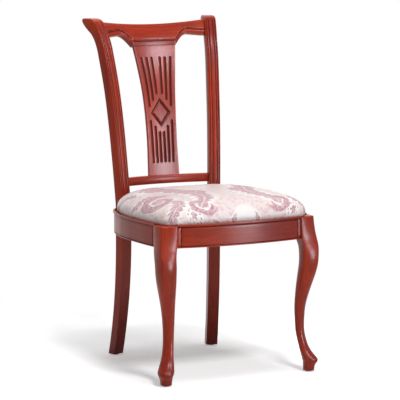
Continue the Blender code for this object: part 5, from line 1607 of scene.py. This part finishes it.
worn = put(tree, "ShaderNodeTexNoise", {"Vector": on_cloth, "Scale": 120.0, "Detail": 3.0}).outputs["Fac"]
rose = overlaid(FIGURE, FIGURE_DEEP, ramp(worn, 0.42, 0.64))
colour = overlaid(GROUND, SPRIG, times(filling, 0.85))
colour = overlaid(colour, SILVER, times(sums("MAXIMUM", rim, plain), 0.55))
colour = overlaid(colour, rose, times(figure, ramp(worn, 0.3, 0.5, 0.78, 0.95)))
colour = overlaid(colour, SILVER, times(vein, 0.45))
threads = put(tree, "ShaderNodeSeparateXYZ", {0: on_cloth}).outputs
warp = sums("SINE", times(threads["X"], 2 * math.pi / THREAD_PITCH))
weft = sums("SINE", times(threads["Y"], 2 * math.pi / THREAD_PITCH))
woven = times(times(warp, weft), 0.25)
matt = sums("MAXIMUM", figure, times(filling, 0.5))
weave = {
    "Base Color": colour,
    "Roughness": ramp(matt, 0.0, 1.0, 0.34, 0.6),
    "Normal": bump(sums("MULTIPLY_ADD", figure, 0.6, woven), 0.5, 0.0004),
    "Specular IOR Level": 0.36,
    "Sheen Weight": 0.2,
    "Sheen Roughness": 0.4,
}
feed(shader, weave)
fit(cushion, damask, "damask", "seat_cover")


# The foam pad under the damask: 50 mm upholstery foam cut to the board's shape, its top edge
# pressed round by the cloth drawn over it. It is made from the cushion's inside.
FOAM_LIGHT = (0.74, 0.66, 0.46, 1)
FOAM_DARK = (0.50, 0.41, 0.24, 1)
FOAM_CELL_SCALE = 700.0
PAD_LOW = CUSHION_LOW + COVER_THICK + BOARD_THICK + 2 * GAP
PAD_SIDE_LOW = PAD_LOW + 0.0020
PAD_BOTTOM = (0.995, 0.92, 0.72, 0.5, 0.28, 0.08)


def foam_finish():
    """Cut foam: small open cells, yellowed in patches."""
    made, tree, shader = material("upholstery_foam")
    place = put(tree, "ShaderNodeTexCoord").outputs["Object"]
    cells = put(tree, "ShaderNodeTexVoronoi", {"Vector": place, "Scale": FOAM_CELL_SCALE}).outputs["Distance"]
    yellowed = put(tree, "ShaderNodeTexNoise", {"Vector": place, "Scale": 9.0, "Detail": 3.0}).outputs["Fac"]
    aged = sums("MAXIMUM", ramp(cells, 0.25, 0.05), times(ramp(yellowed, 0.4, 0.7), 0.4))
    foam = {
        "Base Color": overlaid(FOAM_LIGHT, FOAM_DARK, aged),
        "Roughness": ramp(cells, 0.0, 0.6, 0.98, 0.82),
        "Normal": bump(cells, 0.6, 0.0006),
    }
    feed(shader, foam)
    return made


def pad_mesh():
    """The pad's top and sides from the cushion's net, led in, and a flat bottom on the board."""
    top = cushion_net - net_normals * (COVER_THICK + GAP)
    top[:, 2] = np.maximum(top[:, 2], PAD_SIDE_LOW)
    points = [tuple(point) for point in top]
    faces = net_faces()
    upper = net_rim
    middle = np.array((0, CUSHION_MIDDLE[1] + CHAIR_SHIFT, PAD_LOW))
    for share in PAD_BOTTOM:
        lower = list(range(len(points), len(points) + len(net_rim)))
        points += [tuple(mix(middle, (*top[index][:2], PAD_LOW), share)) for index in net_rim]
        faces += band_faces(upper, lower)
        upper = lower
    faces.append(tuple(upper[::-1]))
    mesh = bpy.data.meshes.new("seat_pad_shaped")
    mesh.from_pydata(points, [], faces)
    mesh.shade_smooth()
    return mesh


pad = linked("seat_pad_shaped", pad_mesh())
fit(pad, foam_finish(), "foam", "seat_pad")


# The dust cloth: black non-woven lining pulled flat across the underside of the loose seat and
# stapled to the board all round, with soft puckers between the staples.
LINING_REACH = 0.86
LINING_THICK = 0.0005
LINING_LOW = FRAME_TOP - 0.0008
LINING_SLACK = 0.0006
LINING_SAG = 0.0012
LINING_RINGS = 20
LINING_SPOKES = 144
PUCKER = 0.0003
PUCKERS_ROUND = 34
STAPLE_INSET = 0.9650
STAPLE_SIZES = {"Pitch": 0.0450, "Crown": 0.0100, "Leg": 0.0012, "Wire": 0.0005}
LINING_BLACK = (0.012, 0.012, 0.013, 1)
LINING_GREY = (0.045, 0.045, 0.048, 1)
ZINC_BRIGHT = (0.56, 0.55, 0.52, 1)
ZINC_DULL = (0.40, 0.39, 0.36, 1)
BOND_PITCH = 0.0016


def lining_finish():
    """Matt spun fibres with a grid of small dimples where they were pressed together."""
    made, tree, shader = material("black_lining")
    place = put(tree, "ShaderNodeTexCoord").outputs["Object"]
    spun = {"Vector": place, "Scale": 900.0, "Detail": 4.0, "Distortion": 2.0}
    hair = ramp(put(tree, "ShaderNodeTexNoise", spun).outputs["Fac"], 0.4, 0.66)
    spread = put(tree, "ShaderNodeSeparateXYZ", {0: place}).outputs
    rows, lines = (sums("SINE", times(spread[axis], math.pi / BOND_PITCH)) for axis in "XY")
    bonds = ramp(sums("ABSOLUTE", times(rows, lines)), 0.6, 0.9)
    felt = {
        "Base Color": overlaid(LINING_BLACK, LINING_GREY, hair),
        "Roughness": ramp(bonds, 0.0, 1.0, 0.95, 0.7),
        "Normal": bump(sums("MULTIPLY_ADD", bonds, -0.5, hair), 0.6, 0.0003),
    }
    feed(shader, felt)
    return made


def lining_mesh():
    """Rings from the middle out, sagging a little and puckered towards the staples."""
    level = LINING_LOW + LINING_SLACK
    points = [(0, CUSHION_MIDDLE[1] + CHAIR_SHIFT, level - LINING_SAG)]
    for ring in range(1, LINING_RINGS + 1):
        share = ring / LINING_RINGS
        for step in range(LINING_SPOKES):
            angle = 2 * math.pi * step / LINING_SPOKES
            heading = np.array((math.cos(angle), math.sin(angle)))
            plan = CUSHION_MIDDLE + heading * cushion_reach(angle) * LINING_REACH * share
            pucker = PUCKER * math.sin(angle * PUCKERS_ROUND) * fade(share, 0.6, 1)
            height = level - LINING_SAG * (1 - share**2) - abs(pucker)
            points.append((plan[0], plan[1] + CHAIR_SHIFT, height))
    faces = [(0, 1 + (step + 1) % LINING_SPOKES, 1 + step) for step in range(LINING_SPOKES)]
    for ring in range(LINING_RINGS - 1):
        inner = 1 + ring * LINING_SPOKES
        outer = inner + LINING_SPOKES
        for step in range(LINING_SPOKES):
            after = (step + 1) % LINING_SPOKES
            faces.append((inner + step, inner + after, outer + after, outer + step))
    mesh = bpy.data.meshes.new("dust_cloth_stapled")
    mesh.from_pydata(points, [], faces)
    mesh.shade_smooth()
    return mesh


lining = linked("dust_cloth_stapled", lining_mesh())
wall = lining.modifiers.new("cloth_thickness", "SOLIDIFY")
wall.thickness = LINING_THICK
wall.offset = -1
settled(lining)
fit(lining, lining_finish(), "lining", "dust_cloth")


def zinc_plated():
    """Bright zinc with a faint spangle and fine scratches."""
    made, tree, shader = material("zinc_plated_steel")
    place = put(tree, "ShaderNodeTexCoord").outputs["Object"]
    spangle = put(tree, "ShaderNodeTexVoronoi", {"Vector": place, "Scale": 900.0}).outputs["Distance"]
    scuffs = put(tree, "ShaderNodeTexNoise", {"Vector": place, "Scale": 2500.0, "Detail": 3.0}).outputs["Fac"]
    plating = {
        "Base Color": overlaid(ZINC_BRIGHT, ZINC_DULL, ramp(spangle, 0.1, 0.6)),
        "Roughness": ramp(scuffs, 0.35, 0.65, 0.26, 0.5),
        "Normal": bump(scuffs, 0.15, 0.0001),
        "Metallic": 1.0,
    }
    feed(shader, plating)
    return made


zinc = zinc_plated()


def grown_by_nodes(name, mesh, group, values):
    """A plain mesh made by a Geometry Nodes tree from a base mesh, with the tree's inputs by name."""
    made = linked(name, mesh)
    worker = made.modifiers.new("maker", "NODES")
    worker.node_group = group
    for item in group.interface.items_tree:
        if item.in_out == "INPUT" and item.name in values:
            worker[item.identifier] = values[item.name]
    settled(made)
    return made


def maker_tree(name, inputs):
    """A Geometry Nodes tree with named inputs, its sources and its result."""
    tree = bpy.data.node_groups.new(name, "GeometryNodeTree")
    tree.interface.new_socket("Geometry", in_out="INPUT", socket_type="NodeSocketGeometry")
    for title, kind in inputs:
        tree.interface.new_socket(title, in_out="INPUT", socket_type=kind)
    tree.interface.new_socket("Geometry", in_out="OUTPUT", socket_type="NodeSocketGeometry")
    return tree, put(tree, "NodeGroupInput").outputs, put(tree, "NodeGroupOutput")


def set_out(tree, result, source, points, piece, turn):
    """Stands a piece at each point, as real mesh in the tree's finish, and ends the tree."""
    inputs = {"Points": points, "Instance": piece, "Rotation": turn}
    instances = put(tree, "GeometryNodeInstanceOnPoints", inputs).outputs[0]
    real = put(tree, "GeometryNodeRealizeInstances", {0: instances}).outputs[0]
    done = put(tree, "GeometryNodeSetMaterial", {0: real, "Material": source["Finish"]}).outputs[0]
    feed(result, {0: done})
    return tree


def staples_tree():
    """Staples along a closed line, each a flat crown with two short legs that go up."""
    sizes = [(name, "NodeSocketFloat") for name in STAPLE_SIZES]
    tree, source, result = maker_tree("staples_along_line", sizes + [("Finish", "NodeSocketMaterial")])
    line = put(tree, "GeometryNodeMeshToCurve", {0: source["Geometry"]}).outputs[0]
    inputs = {0: line, "Length": source["Pitch"]}
    places = put(tree, "GeometryNodeCurveToPoints", inputs, mode="LENGTH").outputs
    half = times(source["Crown"], 0.5)
    corner = put(tree, "ShaderNodeCombineXYZ", {"X": half}).outputs[0]
    other = put(tree, "ShaderNodeVectorMath", {0: corner, "Scale": -1.0}, operation="SCALE").outputs[0]
    bent = put(tree, "ShaderNodeCombineXYZ", {"X": half, "Z": source["Leg"]}).outputs[0]
    bent_other = put(tree, "ShaderNodeVectorMath", {0: bent, 1: (-1, 1, 1)}, operation="MULTIPLY").outputs[0]
    corners = {"Point 1": corner, "Point 2": bent, "Point 3": bent_other, "Point 4": other}
    crown = put(tree, "GeometryNodeCurvePrimitiveQuadrilateral", corners, mode="POINTS").outputs[0]
    inputs = {"Resolution": 6, "Radius": source["Wire"]}
    section = put(tree, "GeometryNodeCurvePrimitiveCircle", inputs).outputs[0]
    wire = put(tree, "GeometryNodeCurveToMesh", {0: crown, 1: section, "Fill Caps": True}).outputs[0]
    turn = put(tree, "FunctionNodeAlignRotationToVector", {"Vector": places["Tangent"]}, axis="X").outputs[0]
    return set_out(tree, result, source, places["Points"], wire, turn)


edge = bpy.data.meshes.new("staple_line")
edge_points = [CUSHION_MIDDLE + (point - CUSHION_MIDDLE) * LINING_REACH * STAPLE_INSET for point in outline]
edge_height = LINING_LOW - STAPLE_SIZES["Wire"] * 0.6
edge.from_pydata(
    [(x, y + CHAIR_SHIFT, edge_height) for x, y in edge_points],
    [(index, (index + 1) % len(edge_points)) for index in range(len(edge_points))],
    [],
)
staples = grown_by_nodes("staples", edge, staples_tree(), {**STAPLE_SIZES, "Finish": zinc})
fit(staples, zinc, "zinc_steel")


# The screws: zinc plated wood screws with countersunk cross-recessed heads, two through each corner
# block into the rails and one up through each block into the seat board.
SCREW_SIZES = {
    "Head Radius": 0.0040,
    "Head Height": 0.0026,
    "Shank Radius": 0.0020,
    "Tip": 0.0060,
    "Recess Length": 0.0042,
    "Recess Width": 0.0010,
    "Recess Depth": 0.0014,
    "Thread Step": 0.0018,
    "Thread Height": 0.0004,
}
SCREW_POINT_RADIUS = 0.0002
THREADED = 0.62
HEAD_SIDES = 28
SHANK_SIDES = 16
TURN_SEED = 3


def screw_tree():
    """One screw with its face at the origin, pointing up, stood at each point along its axis."""
    sizes = [(name, "NodeSocketFloat") for name in ("Length", *SCREW_SIZES)]
    others = [("Seed", "NodeSocketInt"), ("Finish", "NodeSocketMaterial")]
    tree, source, result = maker_tree("cross_recessed_screws", sizes + others)

    def lifted(mesh, height):
        lift = put(tree, "ShaderNodeCombineXYZ", {"Z": height}).outputs[0]
        return put(tree, "GeometryNodeTransform", {0: mesh, "Translation": lift}).outputs[0]

    def frustum(low_radius, high_radius, low, high, sides):
        """A closed cone with its ends at two heights."""
        tall = sums("SUBTRACT", high, low)
        inputs = {"Vertices": sides, "Radius Bottom": low_radius, "Radius Top": high_radius, "Depth": tall}
        cone = put(tree, "GeometryNodeMeshCone", inputs).outputs[0]
        box = put(tree, "GeometryNodeBoundBox", {0: cone}).outputs["Min"]
        base = put(tree, "ShaderNodeSeparateXYZ", {0: box}).outputs["Z"]
        return lifted(cone, sums("SUBTRACT", low, base))

    radius = source["Shank Radius"]
    head = frustum(source["Head Radius"], radius, 0.0, source["Head Height"], HEAD_SIDES)
    deep = times(source["Recess Depth"], 2.0)
    slots = put(tree, "GeometryNodeJoinGeometry")
    for x, y in (("Recess Length", "Recess Width"), ("Recess Width", "Recess Length")):
        size = put(tree, "ShaderNodeCombineXYZ", {"X": source[x], "Y": source[y], "Z": deep}).outputs[0]
        feed(slots, {0: put(tree, "GeometryNodeMeshCube", {"Size": size}).outputs[0]})
    cut = put(tree, "GeometryNodeMeshBoolean", operation="DIFFERENCE", solver="EXACT")
    feed(cut, {"Mesh 1": head, "Mesh 2": slots.outputs[0]})
    shoulder = sums("SUBTRACT", source["Length"], source["Tip"])
    shank = frustum(radius, radius, times(source["Head Height"], 0.9), shoulder, SHANK_SIDES)
    point = frustum(radius, SCREW_POINT_RADIUS, shoulder, source["Length"], SHANK_SIDES)
    threaded = times(source["Length"], THREADED)
    turns = sums("DIVIDE", threaded, source["Thread Step"])
    inputs = {"Resolution": 12, "Rotations": turns, "Height": threaded}
    inputs |= {"Start Radius": radius, "End Radius": radius}
    helix = put(tree, "GeometryNodeCurveSpiral", inputs).outputs[0]
    helix = lifted(helix, sums("SUBTRACT", shoulder, threaded))
    inputs = {"Resolution": 4, "Radius": source["Thread Height"]}
    ridge = put(tree, "GeometryNodeCurvePrimitiveCircle", inputs).outputs[0]
    thread = put(tree, "GeometryNodeCurveToMesh", {0: helix, 1: ridge, "Fill Caps": True}).outputs[0]
    whole = put(tree, "GeometryNodeJoinGeometry")
    for part in (cut.outputs[0], shank, point, thread):
        feed(whole, {0: part})
    inputs = {"Name": "axis"}
    axis = put(tree, "GeometryNodeInputNamedAttribute", inputs, data_type="FLOAT_VECTOR").outputs["Attribute"]
    stood = put(tree, "FunctionNodeAlignRotationToVector", {"Vector": axis}, axis="Z").outputs[0]
    chance = put(tree, "FunctionNodeRandomValue", {"Seed": source["Seed"]}, data_type="FLOAT").outputs[1]
    inputs = {"Axis": (0, 0, 1), "Angle": times(chance, math.pi)}
    spin = put(tree, "FunctionNodeAxisAngleToRotation", inputs).outputs[0]
    driven = put(tree, "FunctionNodeRotateRotation", {0: stood, 1: spin}, rotation_space="LOCAL").outputs[0]
    return set_out(tree, result, source, source["Geometry"], whole.outputs[0], driven)


def screw_seat(node):
    """The place of a CAD screw's face and its axis, from its own points."""
    points = vert_places(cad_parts[node].data)
    middle = (points.min(axis=0) + points.max(axis=0)) / 2
    axis = np.linalg.svd(points - points.mean(axis=0))[2][0]
    along = (points - middle) @ axis
    off = np.linalg.norm(points - middle - np.outer(along, axis), axis=1)
    if along[np.argmax(off)] > 0:
        axis, along = -axis, -along
    return middle + axis * along.min(), axis, along.max() - along.min()


screws = screw_tree()
for name in ("block_screw", "seat_screw"):
    nodes = sorted(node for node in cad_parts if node.startswith(name))
    seats = [screw_seat(node) for node in nodes]
    mesh = bpy.data.meshes.new(name + "s")
    mesh.from_pydata([tuple(place) for place, _, _ in seats], [], [])
    axis = mesh.attributes.new("axis", "FLOAT_VECTOR", "POINT")
    axis.data.foreach_set("vector", np.array([way for _, way, _ in seats], float).reshape(-1))
    sizes = {"Length": float(seats[0][2]), **SCREW_SIZES, "Seed": TURN_SEED, "Finish": zinc}
    fit(grown_by_nodes(name + "s", mesh, screws, sizes), zinc, "zinc_steel", *nodes)


# The glides: studs of pale moulded nylon, each with a pin that is driven up into its foot, their
# rims scuffed by the floor.
NYLON_PALE = (0.62, 0.60, 0.55, 1)
NYLON_SCUFFED = (0.30, 0.28, 0.25, 1)
SCUFF_HEIGHT = 0.0018

nylon, tree, shader = material("moulded_nylon")
place = put(tree, "ShaderNodeTexCoord").outputs["Object"]
mottle = put(tree, "ShaderNodeTexNoise", {"Vector": place, "Scale": 500.0, "Detail": 4.0}).outputs["Fac"]
height = put(tree, "ShaderNodeSeparateXYZ", {0: place}).outputs["Z"]
scuffed = times(ramp(height, SCUFF_HEIGHT, 0.0), ramp(mottle, 0.4, 0.6))
moulded = {
    "Base Color": overlaid(NYLON_PALE, NYLON_SCUFFED, scuffed),
    "Roughness": ramp(mottle, 0.3, 0.7, 0.42, 0.62),
    "Normal": bump(mottle, 0.2, 0.0002),
}
feed(shader, moulded)
for name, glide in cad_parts.items():
    if name.startswith("glide"):
        painted(glide, nylon)
